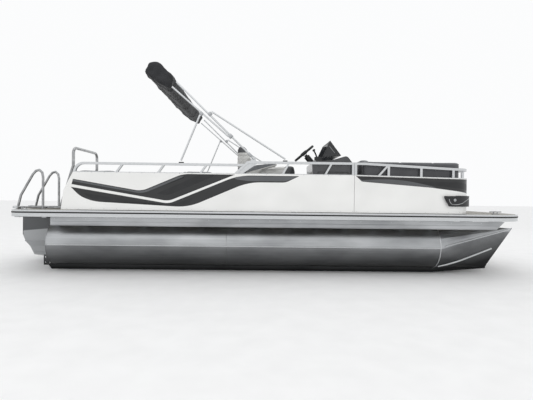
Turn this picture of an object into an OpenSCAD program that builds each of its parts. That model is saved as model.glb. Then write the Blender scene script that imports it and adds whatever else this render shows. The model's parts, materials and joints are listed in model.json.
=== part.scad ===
// Pontoon boat with folded bimini top, side, bow and stern gates.
// X runs to the bow, Y to port, Z up from the bottom of the keels.

/* [Hull] */
// Outside diameter of each pontoon tube
tube_d = 636; // [560:2:660]
// Distance from the centre line to the axis of each tube
tube_y = 850; // [800:5:880]
// Height of the tube axes above the bottom of the keels
tube_z = 385; // [370:1:400]
// Width of each keel strip
keel_w = 40; // [24:2:60]
// Half width of the motor pod
pod_half_w = 400; // [300:10:440]
// Thickness of the transom plate
transom_t = 50; // [38:1:60]

/* [Deck] */
// Overall width of the deck with its trim
beam_w = 2590; // [2590:1:2620]
// Length of the deck with its trim
deck_len = 7010; // [6990:5:7030]
// Height of the deck surface above the bottom of the keels
deck_z = 850; // [850:1:852]
// Radius of the deck's bow corners
bow_corner_r = 500; // [420:10:560]
// Radius of the deck's stern corners
stern_corner_r = 180; // [120:10:240]
// Height of the edge trim
trim_h = 90; // [80:1:100]
// Thickness of the edge trim
trim_t = 25; // [20:1:30]

/* [Fence] */
// Outside width of the square fence tube
rail_w = 32; // [28:1:36]
// Distance from the centre line to the middle of the side fences
fence_y = 1235; // [1225:1:1236]
// Thickness of the fence skins
skin_t = 4; // [3:1:6]
// Height of the top of the side skins
skin_top = 1360; // [1330:1:1365]
// Height of the middle of the aft rail
aft_rail_z = 1475; // [1465:1:1485]
// Height of the middle of the forward rail
fwd_rail_z = 1513; // [1505:1:1520]
// Width of the bow gate's opening
bow_gate_w = 660; // [600:10:700]

/* [Bimini] */
// Diameter of the main bows
bow_d = 25.4; // [22:0.2:30]
// Diameter of the struts
strut_d = 24; // [19:1:24]
// Angle of the stowed frame above the rail
stow_angle = 44; // [40:1:48]
// Length of the stowed frame from its hinge
frame_len = 1860; // [1800:10:1900]

/* [Fittings] */
// Diameter of the tow bar's tube
tow_d = 45; // [38:1:51]
// Diameter of the handrail tube
hand_d = 32; // [25:1:38]
// Outside diameter of the steering wheel
wheel_d = 343; // [320:1:360]
// Radius of the transom bolt holes
bolt_r = 6.5; // [6.5:0.1:6.7]

/* [Hidden] */
$fn = 64;
bow_x = 3680;
pod_x = -3680;
stern_x = bow_x - deck_len;
tube_r = tube_d / 2;
half_beam = beam_w / 2;
deck_t = 30;
member_top = deck_z - deck_t;
member_h = 75;
member_bottom = member_top - member_h;
member_half = half_beam - trim_t - 8;
tube_aft = -2880;
tube_fwd = 2478;
skirt_x0 = -2760;
rail_h = rail_w / 2;
fence_bottom = deck_z + 7;
fence_out = fence_y + rail_h;
fence_in = fence_y - rail_h;
seam_x = 1260;
corner_r = 250;
corner_x = 2610;
corner_y = fence_y - corner_r;
front_x = corner_x + corner_r;
bow_skin_top = 1336;
bow_rail_z = 1455;
gate_half = bow_gate_w / 2;
gate_gap = 16;
gate_hinge_z = [980, 1230];
side_gate_x0 = 560;
side_gate_x1 = seam_x - 2;
stern_fence_x = -2470;
stern_gate_y0 = -600;
stern_gate_y1 = -100;
stern_top = 1345;
hinge_x = -93;
hinge_z = 1565;
frame_y = 1272;
ladder_x = stern_x - 25;
ladder_z = deck_z + 25;
ladder_y0 = -1050;
ladder_y1 = -730;
chair_x = 20;
chair_y = -700;
wheel_at = [636, -750, 1696];
wheel_tilt = -40.5;
seat_z = 1170;
cushion_top = 1290;

// ---- helpers ----

function unit(v) = v / norm(v);
function left_of(v) = [-v[1], v[0]];
function arc(c, r, a0, a1, n) = [for (i = [0:n]) c + r * [cos(a0 + (a1 - a0) * i / n), sin(a0 + (a1 - a0) * i / n)]];

// Sideways step at point i of a path, mitred between its two stretches
function mitre(p, i) =
    let (last = len(p) - 1)
    let (n1 = left_of(unit(p[max(i, 1)] - p[max(i, 1) - 1])))
    let (n2 = left_of(unit(p[min(i, last - 1) + 1] - p[min(i, last - 1)])))
    (n1 + n2) / (1 + n1 * n2);

function band_points(p, w) = concat(
    [for (i = [0:len(p) - 1]) p[i] + mitre(p, i) * w / 2],
    [for (i = [len(p) - 1:-1:0]) p[i] - mitre(p, i) * w / 2]);

module band(p, w) {
    polygon(band_points(p, w));
}

// Lays an X-Z outline upright, from y to y + t
module upright(y, t) {
    translate([0, y + t, 0]) rotate([90, 0, 0]) linear_extrude(t) children();
}

// Lays a Y-Z outline upright, from x to x + t
module across(x, t) {
    translate([x, 0, 0]) rotate([90, 0, 90]) linear_extrude(t) children();
}

module strut(p, q, d) {
    v = q - p;
    translate(p) rotate([0, acos(v[2] / norm(v)), atan2(v[1], v[0])]) cylinder(h = norm(v), d = d);
}

// Bent tube, with a weld bead a little proud at each bend
module bent_tube(points, d) {
    for (i = [0:len(points) - 2]) strut(points[i], points[i + 1], d);
    for (i = [1:len(points) - 2]) translate(points[i]) sphere(d = d + 1);
}

module block(x0, x1, y0, y1, z0, z1) {
    translate([min(x0, x1), min(y0, y1), z0]) cube([abs(x1 - x0), abs(y1 - y0), z1 - z0]);
}

// Copies to starboard what is drawn on the port side
module both_sides() {
    children();
    mirror([0, 1, 0]) children();
}

// Plan outline of a box with rounded corners
function round_plan(x0, x1, ya, yb, r) = concat(
    arc([x1 - r, yb - r], r, 0, 90, 5), arc([x0 + r, yb - r], r, 90, 180, 5),
    arc([x0 + r, ya + r], r, 180, 270, 5), arc([x1 - r, ya + r], r, 270, 360, 5));

// Box with its upright edges rounded
module round_block(x0, x1, y0, y1, z0, z1, r) {
    translate([0, 0, z0]) linear_extrude(z1 - z0)
        polygon(round_plan(x0, x1, min(y0, y1), max(y0, y1), r));
}

// ---- hull ----

// One tube with its domed end, nose cone and keel strip, on the port side
module tube_shape() {
    nose_tip = [3655, tube_y, 640];
    stem_low = [3261, tube_y, 80];
    stem_high = [3487, tube_y, 557];
    translate([tube_aft, tube_y, tube_z]) rotate([0, 90, 0]) cylinder(h = tube_fwd - tube_aft, r = tube_r);
    translate([tube_aft, tube_y, tube_z]) rotate([0, -90, 0]) cylinder(h = 50, r1 = tube_r, r2 = tube_r * 0.4);
    hull() {
        translate([tube_fwd, tube_y, tube_z]) rotate([0, 90, 0]) cylinder(h = 1, r = tube_r, $fn = 32);
        for (p = [nose_tip, stem_low, stem_high]) translate(p) cube([2, 16, 2], center = true);
    }
    upright(tube_y - keel_w / 2, keel_w)
        polygon([[-2990, 54], [-2945, 0], [2470, 0], [stem_low[0] + 6, 64], [stem_low[0], 82],
                 [2480, 90], [-2960, 90]]);
}

module pontoon_starboard() {
    color("#b9bcbf") mirror([0, 1, 0]) tube_shape();
}

module pontoon_port() {
    color("#b9bcbf") tube_shape();
}

// Saddles that carry the cross members on the tubes
module m_brackets() {
    saddle_half = 150;
    color("#9a9d9f")
    for (side = [-1, 1], i = [0:7]) {
        difference() {
            translate([-2700 + 700 * i, side * tube_y - saddle_half, 650])
                cube([80, 2 * saddle_half, member_bottom - 650]);
            translate([tube_aft, side * tube_y, tube_z]) rotate([0, 90, 0])
                cylinder(h = tube_fwd - tube_aft, r = tube_r + 0.4);
        }
    }
}

module cross_members() {
    member_w = 60;
    color("#8d9092")
    for (i = [0:16]) {
        half = i == 0 ? member_half - 80 : member_half;
        block(-3280 + 405 * i, -3280 + 405 * i + member_w, -half, half, member_bottom, member_top);
    }
}

// Port half of the deck's outline, from stern to bow, inside an edge of width t
function half_deck(t) = concat(
    arc([stern_x + stern_corner_r, half_beam - stern_corner_r], stern_corner_r - t, 180, 90, 12),
    arc([bow_x - bow_corner_r, half_beam - bow_corner_r], bow_corner_r - t, 90, 0, 12));

module deck() {
    outline = half_deck(trim_t);
    color("#a9a6a0") translate([0, 0, member_top]) linear_extrude(deck_t)
        polygon(concat(outline, [for (i = [len(outline) - 1:-1:0]) [outline[i][0], -outline[i][1]]]));
}

// A trim bent round one corner of the deck, of radius r about c
module trim_corner(c, r, from_angle) {
    points = concat(arc(c, r, from_angle, from_angle + 90, 12), arc(c, r - trim_t, from_angle + 90, from_angle, 12));
    translate([0, 0, deck_z - trim_h]) linear_extrude(trim_h) polygon(points);
}

module side_trims() {
    color("#c4c7c9") both_sides()
        block(stern_x + stern_corner_r, bow_x - bow_corner_r, half_beam - trim_t, half_beam,
              deck_z - trim_h, deck_z);
}

module bow_trim() {
    side = half_beam - bow_corner_r;
    color("#c4c7c9") union() {
        block(bow_x - trim_t, bow_x, -side, side, deck_z - trim_h, deck_z);
        both_sides() trim_corner([bow_x - bow_corner_r, side], bow_corner_r, 0);
    }
}

module stern_trim() {
    side = half_beam - stern_corner_r;
    color("#c4c7c9") union() {
        block(stern_x, stern_x + trim_t, -side, side, deck_z - trim_h, deck_z);
        both_sides() trim_corner([stern_x + stern_corner_r, side], stern_corner_r, 90);
    }
}

module skirt_shape() {
    upright(member_half, 4)
        polygon([[skirt_x0, 646], [3180, 646], [3290, deck_z - trim_h - 4], [skirt_x0, deck_z - trim_h - 4]]);
}

module skirt_starboard() {
    color("#b3b6b8") mirror([0, 1, 0]) skirt_shape();
}

module skirt_port() {
    color("#b3b6b8") skirt_shape();
}

// Buoyant box between the tubes that carries the outboard's transom
module motor_pod() {
    aft = pod_x + transom_t;
    color("#55585a") intersection() {
        upright(-pod_half_w, 2 * pod_half_w)
            polygon([[aft, member_bottom], [aft, 420], [aft + 126, 118], [aft + 190, 60], [-2600, 60],
                     [-2080, 500], [-2000, member_bottom]]);
        across(aft - 10, 2000)
            polygon([[-pod_half_w, member_bottom + 10], [-pod_half_w, 330], [-340, 250], [-320, 120],
                     [-60, 50], [60, 50], [320, 120], [340, 250], [pod_half_w, 330],
                     [pod_half_w, member_bottom + 10]]);
    }
}

module transom_plate() {
    color("#232527") difference() {
        across(pod_x, transom_t)
            polygon([[-330, 430], [-280, 385], [280, 385], [330, 430], [330, 715], [290, 755],
                     [-290, 755], [-330, 715]]);
        for (y = [-163.5, 163.5]) translate([pod_x - 5, y, 700]) rotate([0, 90, 0])
            cylinder(h = transom_t + 10, r = bolt_r);
        for (y = [-125.4, 125.4]) translate([pod_x - 5, y, 496.8]) rotate([0, 90, 0])
            cylinder(h = transom_t + 10, r = bolt_r);
    }
}

// Plate for a depth sounder, welded to the aft end of the starboard tube
module transducer_bracket() {
    color("#26282a") difference() {
        block(-3010, -2930.3, -tube_y - 110, -tube_y - 104, 70, 215);
        for (z = [105, 180]) translate([-2985, -tube_y - 90, z]) rotate([90, 0, 0]) cylinder(h = 40, r = 8);
    }
}

// ---- fences ----

// Square frame of one side fence, on the port side, between x0 and x1
// Height of the top rail's middle at x
function top_rail_z(x) = x < -150 ? aft_rail_z : x < 1400 ? fwd_rail_z
    : fwd_rail_z - (fwd_rail_z - bow_rail_z) * (x - 1400) / (corner_x - 1400);

// Top rail of the aft fence, from its slanted end to the step
aft_rail = concat([[-2615, fence_bottom + rail_h], [-2584, 1114], [-2465, 1345]],
    arc([-2340, aft_rail_z - 120], 120, 170, 90, 6), [[-220, aft_rail_z]]);

// Outline of an aft fence with its rails, up to x1
module aft_fence_outline(x1, posts, struts) {
    band([[-2600, fence_bottom + rail_h], [x1, fence_bottom + rail_h]], rail_w);
    band([[-2466, skin_top - rail_h], [x1, skin_top - rail_h]], rail_w);
    for (x = posts) band([[x, fence_bottom], [x, skin_top]], rail_w);
    for (x = struts) band([[x, skin_top - rail_h], [x + 95, top_rail_z(x + 95)]], rail_w * 0.8);
    band(aft_rail, rail_w);
    band([[-345, skin_top - rail_h], [-168, fwd_rail_z], [x1, fwd_rail_z]], rail_w);
    band([[x1 - rail_h, fence_bottom], [x1 - rail_h, fwd_rail_z + rail_h]], rail_w);
}

// The part of an aft fence between heights z0 and z1, on the port side
module aft_fence(x1, posts, struts, z0, z1) {
    upright(fence_y - rail_h, rail_w) intersection() {
        aft_fence_outline(x1, posts, struts);
        translate([-4000, z0]) square([8000, z1 - z0]);
    }
}

module starboard_aft_fence(z0, z1) {
    mirror([0, 1, 0])
        aft_fence(seam_x - 2, [-2100, -1500, -900, -300, 280, 800], [-1920, -1370, -810, 290, 860], z0, z1);
}

module port_aft_fence(z0, z1) {
    aft_fence(side_gate_x0, [-2100, -1500, -900, -300, 140], [-1920, -1370, -810, 60], z0, z1);
}

module fence_starboard() {
    color("#c9ccce") starboard_aft_fence(deck_z, skin_top);
}

module fence_port() {
    color("#c9ccce") port_aft_fence(deck_z, skin_top);
}

// Rails above the skins, welded on the frames
module top_rail_starboard() {
    color("#c9ccce") starboard_aft_fence(skin_top, 1700);
}

module top_rail_port() {
    color("#c9ccce") port_aft_fence(skin_top, 1700);
}

// Skin riveted on the outside of an aft fence
module side_skin(x1) {
    upright(fence_out, skin_t)
        polygon([[-2631, fence_bottom], [-2600, 1114], [-2480, 1350], [-2465, skin_top],
                 [x1, skin_top], [x1, fence_bottom]]);
}

module skin_starboard() {
    color("#e9e9e7") mirror([0, 1, 0]) side_skin(seam_x - 2);
}

module skin_port() {
    color("#e9e9e7") side_skin(side_gate_x0);
}

// Square tube bent round the bow corner at height z
module corner_tube(z, h) {
    translate([corner_x, corner_y, z - h / 2]) rotate_extrude(angle = 90)
        translate([corner_r - rail_h, 0]) square([rail_w, h]);
}

// Fence from the side seam to the bow corner, on the port side
module bow_side_frame() {
    upright(fence_y - rail_h, rail_w) intersection() {
        union() {
            band([[seam_x + 2, fence_bottom + rail_h], [corner_x, fence_bottom + rail_h]], rail_w);
            band([[seam_x + 2, skin_top - rail_h - 2], [corner_x + 20, bow_skin_top - rail_h]], rail_w);
            band([[seam_x + 2, top_rail_z(seam_x)], [1400, fwd_rail_z], [corner_x, bow_rail_z],
                  [corner_x + 20, bow_rail_z]], rail_w);
            for (x = [seam_x + 2 + rail_h, 1720, 2160, corner_x - rail_h])
                band([[x, fence_bottom], [x, top_rail_z(x)]], rail_w);
            band([[1567, 1330], [1713, top_rail_z(1713)]], rail_w * 0.8);
        }
        translate([seam_x, deck_z]) square([corner_x - seam_x, 800]);
    }
}

// Tubes round the bow corner, on the port side
module bow_corner_tubes() {
    corner_tube(fence_bottom + rail_h, rail_w);
    corner_tube(bow_skin_top - rail_h, rail_w);
    corner_tube(bow_rail_z, rail_w);
}

// Fence across the bow from the corner to the gate, on the port side
module bow_front_frame() {
    across(front_x - rail_h, rail_w) {
        band([[corner_y, fence_bottom + rail_h], [gate_half, fence_bottom + rail_h]], rail_w);
        band([[corner_y, bow_skin_top - rail_h], [gate_half, bow_skin_top - rail_h]], rail_w);
        band([[corner_y, bow_rail_z], [gate_half, bow_rail_z]], rail_w);
        for (y = [gate_half + rail_h, corner_y - rail_h])
            band([[y, fence_bottom], [y, bow_rail_z + rail_h]], rail_w);
    }
}

module fence_bow_starboard() {
    color("#c9ccce") mirror([0, 1, 0]) bow_side_frame();
}

module fence_bow_port() {
    color("#c9ccce") bow_side_frame();
}

module fence_corner_starboard() {
    color("#c9ccce") mirror([0, 1, 0]) bow_corner_tubes();
}

module fence_corner_port() {
    color("#c9ccce") bow_corner_tubes();
}

module fence_front_starboard() {
    color("#c9ccce") mirror([0, 1, 0]) bow_front_frame();
}

module fence_front_port() {
    color("#c9ccce") bow_front_frame();
}

module bow_skin_shape() {
    union() {
        upright(fence_out, skin_t)
            polygon([[seam_x + 2, fence_bottom], [seam_x + 2, skin_top], [corner_x, bow_skin_top],
                     [corner_x, fence_bottom]]);
        translate([corner_x, corner_y, fence_bottom]) rotate_extrude(angle = 90)
            translate([corner_r + rail_h, 0]) square([skin_t, bow_skin_top - fence_bottom]);
        block(front_x + rail_h, front_x + rail_h + skin_t, gate_half, corner_y, fence_bottom, bow_skin_top);
    }
}

module skin_bow_starboard() {
    color("#e9e9e7") mirror([0, 1, 0]) bow_skin_shape();
}

module skin_bow_port() {
    color("#e9e9e7") bow_skin_shape();
}

// Stern fence in the Y-Z plane, on either side of the stern gate
module stern_frame_part(y0, y1) {
    across(stern_fence_x - rail_h, rail_w) {
        band([[y0, fence_bottom + rail_h], [y1, fence_bottom + rail_h]], rail_w);
        band([[y0, stern_top - rail_h], [y1, stern_top - rail_h]], rail_w);
        for (y = [y0 + rail_h, y1 - rail_h]) band([[y, fence_bottom], [y, stern_top]], rail_w);
    }
}

module fence_stern() {
    color("#c9ccce") {
        stern_frame_part(-fence_in + 1, stern_gate_y0);
        union() {
            stern_frame_part(stern_gate_y1, 560);
            stern_frame_part(540, fence_in - 1);
        }
    }
}

module skin_stern() {
    x = stern_fence_x - rail_h - skin_t;
    color("#e9e9e7") {
        block(x, x + skin_t, -fence_in + 1, stern_gate_y0, fence_bottom, stern_top);
        block(x, x + skin_t, stern_gate_y1, fence_in - 1, fence_bottom, stern_top);
    }
}

// Square frame of a gate, drawn in its own plane
module gate_outline(a0, a1, z1) {
    difference() {
        polygon([[a0, fence_bottom + 6], [a1, fence_bottom + 6], [a1, z1], [a0, z1]]);
        polygon([[a0 + rail_w, fence_bottom + 6 + rail_w], [a1 - rail_w, fence_bottom + 6 + rail_w],
                 [a1 - rail_w, z1 - rail_w], [a0 + rail_w, z1 - rail_w]]);
    }
}

// The half of a hinge on the post. Its pin is at the origin, the gate is along +X
// and the inner faces of post and gate are 10 mm along +Y.
module hinge_on_post() {
    for (z = gate_hinge_z) translate([0, 0, z]) union() {
        translate([0, 0, -45]) cylinder(h = 90, r = 4);
        for (z0 = [-45, 21]) {
            translate([0, 0, z0]) cylinder(h = 24, r = 8);
            translate([-12, 2, z0]) cube([12, 8, 24]);
        }
        translate([-38, 6, -45]) cube([27, 4, 90]);
    }
}

// The half on the gate, with a bore for the pin
module hinge_on_gate() {
    for (z = gate_hinge_z) translate([0, 0, z]) difference() {
        union() {
            translate([0, 0, -20]) cylinder(h = 40, r = 8);
            translate([0, 2, -20]) cube([12, 8, 40]);
            translate([11, 6, -45]) cube([27, 4, 90]);
        }
        translate([0, 0, -21]) cylinder(h = 42, r = 4.05);
    }
}

module at_bow_gate() {
    translate([front_x - rail_h - 10, -gate_half + gate_gap / 2, 0]) rotate([0, 0, 90]) mirror([0, 1, 0]) children();
}

module at_side_gate() {
    translate([side_gate_x0 + gate_gap / 2, fence_y - rail_h - 10, 0]) children();
}

module at_stern_gate() {
    translate([stern_fence_x + rail_h + 10, stern_gate_y0 + gate_gap / 2, 0]) rotate([0, 0, 90]) children();
}

module gate_hinges() {
    color("#b9bcbe") {
        at_bow_gate() hinge_on_post();
        at_side_gate() hinge_on_post();
        at_stern_gate() hinge_on_post();
    }
}

module bow_gate_frame() {
    edge = gate_half - gate_gap;
    color("#c9ccce") union() {
        across(front_x - rail_h, rail_w) gate_outline(-edge, edge, bow_skin_top);
        at_bow_gate() hinge_on_gate();
    }
}

module bow_gate_skin() {
    edge = gate_half - gate_gap;
    color("#e9e9e7") block(front_x + rail_h, front_x + rail_h + skin_t, -edge, edge,
                           fence_bottom + 6, bow_skin_top);
}

module side_gate_frame() {
    color("#c9ccce") union() {
        upright(fence_y - rail_h, rail_w)
            gate_outline(side_gate_x0 + gate_gap, side_gate_x1 - gate_gap, skin_top);
        at_side_gate() hinge_on_gate();
    }
}

module side_gate_skin() {
    color("#e9e9e7") block(side_gate_x0 + gate_gap, side_gate_x1 - gate_gap, fence_out,
                           fence_out + skin_t, fence_bottom + 6, skin_top);
}

module stern_gate_frame() {
    color("#c9ccce") union() {
        across(stern_fence_x - rail_h, rail_w)
            gate_outline(stern_gate_y0 + gate_gap, stern_gate_y1 - gate_gap, stern_top);
        at_stern_gate() hinge_on_gate();
    }
}

module stern_gate_skin() {
    color("#e9e9e7") block(stern_fence_x - rail_h - skin_t, stern_fence_x - rail_h,
                           stern_gate_y0 + gate_gap, stern_gate_y1 - gate_gap, fence_bottom + 6, stern_top);
}

// ---- deck fittings ----

// Light housings wrapped round the bow corners
module docking_lights() {
    depth = 55;
    color("#1d1e20") both_sides()
        translate([corner_x, corner_y, 960]) linear_extrude(140)
            polygon(concat(arc([0, 0], fence_out + skin_t - corner_y + 0.5, 18, 88, 10),
                           arc([0, 0], fence_out + skin_t - corner_y + depth * 0.6, 84, 24, 10)));
}

// Hoop that a tow rope is tied to, standing on the swim deck
module tow_bar() {
    foot_x = -3050;
    knee_x = -2862;
    knee_z = 1500;
    top_z = 1775;
    half = 430;
    bend = 90;
    color("#d5d7d9") union() {
        both_sides() {
            strut([foot_x, half, deck_z + 8], [knee_x, half, knee_z], tow_d);
            translate([knee_x, half, knee_z]) sphere(d = tow_d + 1);
            translate([knee_x, half, knee_z]) cylinder(h = top_z - bend - knee_z, d = tow_d);
            translate([foot_x - 60, half - 55, deck_z]) cube([120, 110, 10]);
            translate([knee_x, half - bend, top_z - bend]) rotate([90, 0, 90])
                rotate_extrude(angle = 90) translate([bend, 0]) circle(d = tow_d);
        }
        strut([knee_x, -half + bend, top_z], [knee_x, half - bend, top_z], tow_d);
    }
}

// Bent handrails on each side of the ladder
module ladder_handrails() {
    color("#dcdee0") for (y = [-1100, -680])
        union() {
            bent_tube([[-3290, y, deck_z + 4], [-3246, y, 1040], [-3087, y, 1325], [-3045, y, 1372],
                       [-3000, y, 1384], [-2962, y, 1350], [-2950, y, 1290], [-2948, y, deck_z + 4]], hand_d);
            translate([-3290, y, deck_z]) cylinder(h = 8, d = 44);
            translate([-2948, y, deck_z]) cylinder(h = 8, d = 70);
        }
}

module ladder_hinges() {
    ear_t = 6;
    color("#b3b6b8") for (y = [ladder_y0 - 26, ladder_y1 + 20])
        difference() {
            upright(y, ear_t)
                polygon([[ladder_x - 18, ladder_z - 14], [ladder_x + 70, deck_z], [ladder_x + 130, deck_z],
                         [ladder_x + 130, ladder_z + 4], [ladder_x + 30, ladder_z + 20],
                         [ladder_x - 18, ladder_z + 14]]);
            translate([ladder_x, y - 1, ladder_z]) rotate([-90, 0, 0]) cylinder(h = ear_t + 2, r = 5.05);
        }
}

// Boarding ladder, folded forward onto the swim deck
module ladder() {
    reach = 640;
    color("#cfd1d3") union() {
        for (y = [ladder_y0, ladder_y1])
            strut([ladder_x - 12, y, ladder_z], [ladder_x + reach, y, ladder_z], 25);
        for (x = [190, 400, reach - 25])
            block(ladder_x + x - 25, ladder_x + x + 25, ladder_y0, ladder_y1, ladder_z - 9, ladder_z + 9);
        strut([ladder_x, ladder_y0 - 28, ladder_z], [ladder_x, ladder_y0, ladder_z], 10);
        strut([ladder_x, ladder_y1, ladder_z], [ladder_x, ladder_y1 + 28, ladder_z], 10);
    }
}

module cleats() {
    color("#d5d7d9") for (at = [[-3150, 1190], [3250, 1120]]) both_sides()
        translate([at[0], at[1], deck_z]) union() {
            block(-45, 45, -14, 14, 0, 8);
            for (x = [-26, 26]) translate([x, 0, 6]) cylinder(h = 26, d = 14);
            translate([-80, 0, 36]) rotate([0, 90, 0]) cylinder(h = 160, d = 15);
        }
}

// ---- bimini ----

// Stands a frame-local shape at the hinge: local Z runs along the bows, local X across them
module on_frame() {
    translate([hinge_x, 0, hinge_z]) rotate([0, stow_angle - 90, 0]) children();
}

// A point of the X-Z plane that lies s along the bows and n below them
function frame_point(s, n) = [hinge_x - s * cos(stow_angle) - n * sin(stow_angle),
                              hinge_z + s * sin(stow_angle) - n * cos(stow_angle)];
rear_top = frame_point(900, 100);
front_top = frame_point(818, -51);
rear_foot = [-1051, 1520];
front_foot = [332, 1558];

module bimini_mounts() {
    color("#b9bcbe") both_sides() {
        difference() {
            union() {
                upright(fence_y - rail_h + 2, 30)
                    polygon([[hinge_x - 40, fwd_rail_z + rail_h], [hinge_x + 40, fwd_rail_z + rail_h],
                             [hinge_x + 18, hinge_z + 18], [hinge_x - 18, hinge_z + 18]]);
            }
            translate([hinge_x, fence_y - 40, hinge_z]) rotate([-90, 0, 0]) cylinder(h = 80, r = 6.05);
        }
    }
}

// Eye and pin for a strut, at x and z on a bow
module strut_pin(x, z) {
    translate([x, -5, z]) rotate([-90, 0, 0]) cylinder(h = 10, r = 11);
    translate([x, -13, z]) rotate([-90, 0, 0]) cylinder(h = 26, r = 4);
}

module bimini_main_bow() {
    bracket_n = 38;
    color("#d9dbdd") both_sides() on_frame() translate([0, frame_y, 0]) union() {
        translate([0, 0, -14]) cylinder(h = 1428 + 14, d = bow_d);
        translate([0, -50, 0]) rotate([-90, 0, 0]) cylinder(h = 50, r = 6);
        translate([-bracket_n, -9, 398]) cube([bracket_n, 18, 42]);
        translate([0, -9, 800]) cube([38, 18, 36]);
        translate([30, -5, 812]) cube([21, 10, 12]);
        strut_pin(51, 818);
    }
}

module bimini_second_bow() {
    color("#d9dbdd") both_sides() on_frame() translate([0, frame_y, 0]) union() {
        strut([-28, 0, 440.3], [-85, 0, 1424], 22);
        translate([-88, -9, 882]) cube([34, 18, 36]);
        translate([-100, -5, 894]) cube([20, 10, 12]);
        strut_pin(-100, 900);
    }
}

// Rolled canopy in its zipped boot
module bimini_boot() {
    half = 1290;
    color("#3c3d40") on_frame() translate([0, half, 0]) rotate([90, 0, 0]) linear_extrude(2 * half)
        polygon(concat(arc([-18, 1500], 70 - 26, -60, 10, 5), arc([-45, 1790], 70, 0, 90, 6),
                       arc([-150, 1790], 68, 100, 190, 6), arc([-95, 1490], 62, 200, 250, 5)));
}

module strut_pair(top, foot, d) {
    way = unit(foot - top);
    color("#d9dbdd") both_sides() difference() {
        union() {
            strut([top[0] + way[0] * 14, frame_y, top[1] + way[1] * 14], [foot[0], frame_y, foot[1]], d);
            for (y = [frame_y - 10.5, frame_y + 6]) upright(y, 4.5)
                translate(top) rotate(atan2(way[1], way[0])) {
                    circle(r = 11);
                    translate([0, -8]) square([34, 16]);
                }
        }
        translate([top[0], frame_y - 12, top[1]]) rotate([-90, 0, 0]) cylinder(h = 24, r = 4.05);
    }
}

module bimini_rear_struts() {
    strut_pair(rear_top, rear_foot, strut_d);
}

module bimini_front_struts() {
    strut_pair(front_top, front_foot, strut_d);
}

// ---- seats ----

// Plan of a bow lounge on the port side, between depths d0 and d1 from the fence
function bow_lounge_plan(x0, x1, d0, d1) =
    let (inner = fence_in - d1)
    let (outer = fence_in - d0)
    let (r = corner_r - rail_w - d0)
    concat([[x0, inner], [x1, inner]],
           arc([corner_x - 30, outer - r], r, 25, 90, 6), [[x0, outer]]);

module bow_lounge_bases() {
    color("#6f7174") both_sides() translate([0, 0, deck_z]) linear_extrude(seat_z - deck_z)
        polygon(bow_lounge_plan(1370, 2760, 14, 600));
}

module bow_lounge_seats() {
    color("#bdbdbb") both_sides() translate([0, 0, seat_z]) linear_extrude(cushion_top - seat_z)
        polygon(bow_lounge_plan(1520, 2770, 150, 610));
}

module bow_lounge_backs() {
    color("#6e7073") both_sides() {
        translate([0, 0, seat_z]) linear_extrude(1568 - seat_z) difference() {
            polygon(bow_lounge_plan(1372, 2760, 14, 145));
            translate([1300, 0]) square([70, 2000]);
        }
        round_block(1372, 1515, fence_in - 605, fence_in - 150, seat_z, 1595, 30);
    }
}

stern_seat_x0 = -2440;
starboard_seat_x1 = -640;
port_seat_x1 = -420;
stern_seat_y = 40;

module stern_lounge_bases() {
    color("#6f7174") {
        block(stern_seat_x0, starboard_seat_x1, -fence_in + 14, -fence_in + 570, deck_z, seat_z);
        union() {
            block(stern_seat_x0, port_seat_x1, fence_in - 570, fence_in - 14, deck_z, seat_z);
            block(stern_seat_x0, stern_seat_x0 + 560, stern_seat_y, fence_in - 560, deck_z, seat_z);
        }
    }
}

module stern_lounge_seats() {
    r = 40;
    color("#bdbdbb") for (i = [0:2]) {
        step = (starboard_seat_x1 - stern_seat_x0) / 3;
        round_block(stern_seat_x0 + i * step + 3, stern_seat_x0 + (i + 1) * step - 3,
                    -fence_in + 150, -fence_in + 580, seat_z, cushion_top, r);
    }
    color("#bdbdbb") {
        step = (port_seat_x1 - stern_seat_x0 - 566) / 2;
        for (i = [0:1]) round_block(stern_seat_x0 + 566 + i * step + 3, stern_seat_x0 + 566 + (i + 1) * step - 3,
                    fence_in - 580, fence_in - 150, seat_z, cushion_top, r);
        round_block(stern_seat_x0 + 140, stern_seat_x0 + 563, stern_seat_y, fence_in - 150, seat_z, cushion_top, r);
    }
}

module stern_lounge_backs() {
    r = 30;
    color("#4a4b4e") {
        round_block(stern_seat_x0 + 3, -1950, -fence_in + 14, -fence_in + 146, seat_z, 1385, r);
        round_block(-1944, -1060, -fence_in + 14, -fence_in + 146, seat_z, 1345, r);
        round_block(-1054, starboard_seat_x1, -fence_in + 14, -fence_in + 146, seat_z, 1385, r);
        round_block(stern_seat_x0 + 140, -1320, fence_in - 146, fence_in - 14, seat_z, 1385, r);
        round_block(-1314, port_seat_x1, fence_in - 146, fence_in - 14, seat_z, 1385, r);
        round_block(stern_seat_x0 + 3, stern_seat_x0 + 136, stern_seat_y, fence_in - 14, seat_z, 1385, r);
    }
}

// ---- helm ----

module console_body() {
    upright(-fence_in + 20, 640)
        polygon(concat([[810, deck_z], [790, 1150], [702, 1400]], arc([742, 1500], 45, 180, 110, 5),
                       [[960, 1560]], arc([1150, 1560], 55, 100, 40, 4), [[1235, 1540], [1245, deck_z]]));
}

module console() {
    color("#3a3b3e") console_body();
}

// Tinted wrap-round windshield: a raked front pane between two side wings
module windshield() {
    y0 = -fence_in + 26;
    y1 = y0 + 628;
    color("#2b2d2f", 0.6) {
        wing = [[835, 1595], [1085, 1622], [938, 1819]];
        upright(y0, 6) polygon(wing);
        upright(y1 - 6, 6) polygon(wing);
        upright(y0 + 6, y1 - y0 - 12) polygon([[1085, 1622], [1078, 1621], [932, 1816], [938, 1819]]);
    }
}

// Stands a wheel-local shape on the steering axis, which leans towards the driver
module on_wheel() {
    translate(wheel_at) rotate([0, wheel_tilt, 0]) children();
}

module steering_column() {
    color("#2a2b2d") difference() {
        on_wheel() union() {
            translate([0, 0, -240]) cylinder(h = 185, d = 84);
            translate([0, 0, -60]) cylinder(h = 30, d = 48);
        }
        console_body();
    }
}

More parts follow.
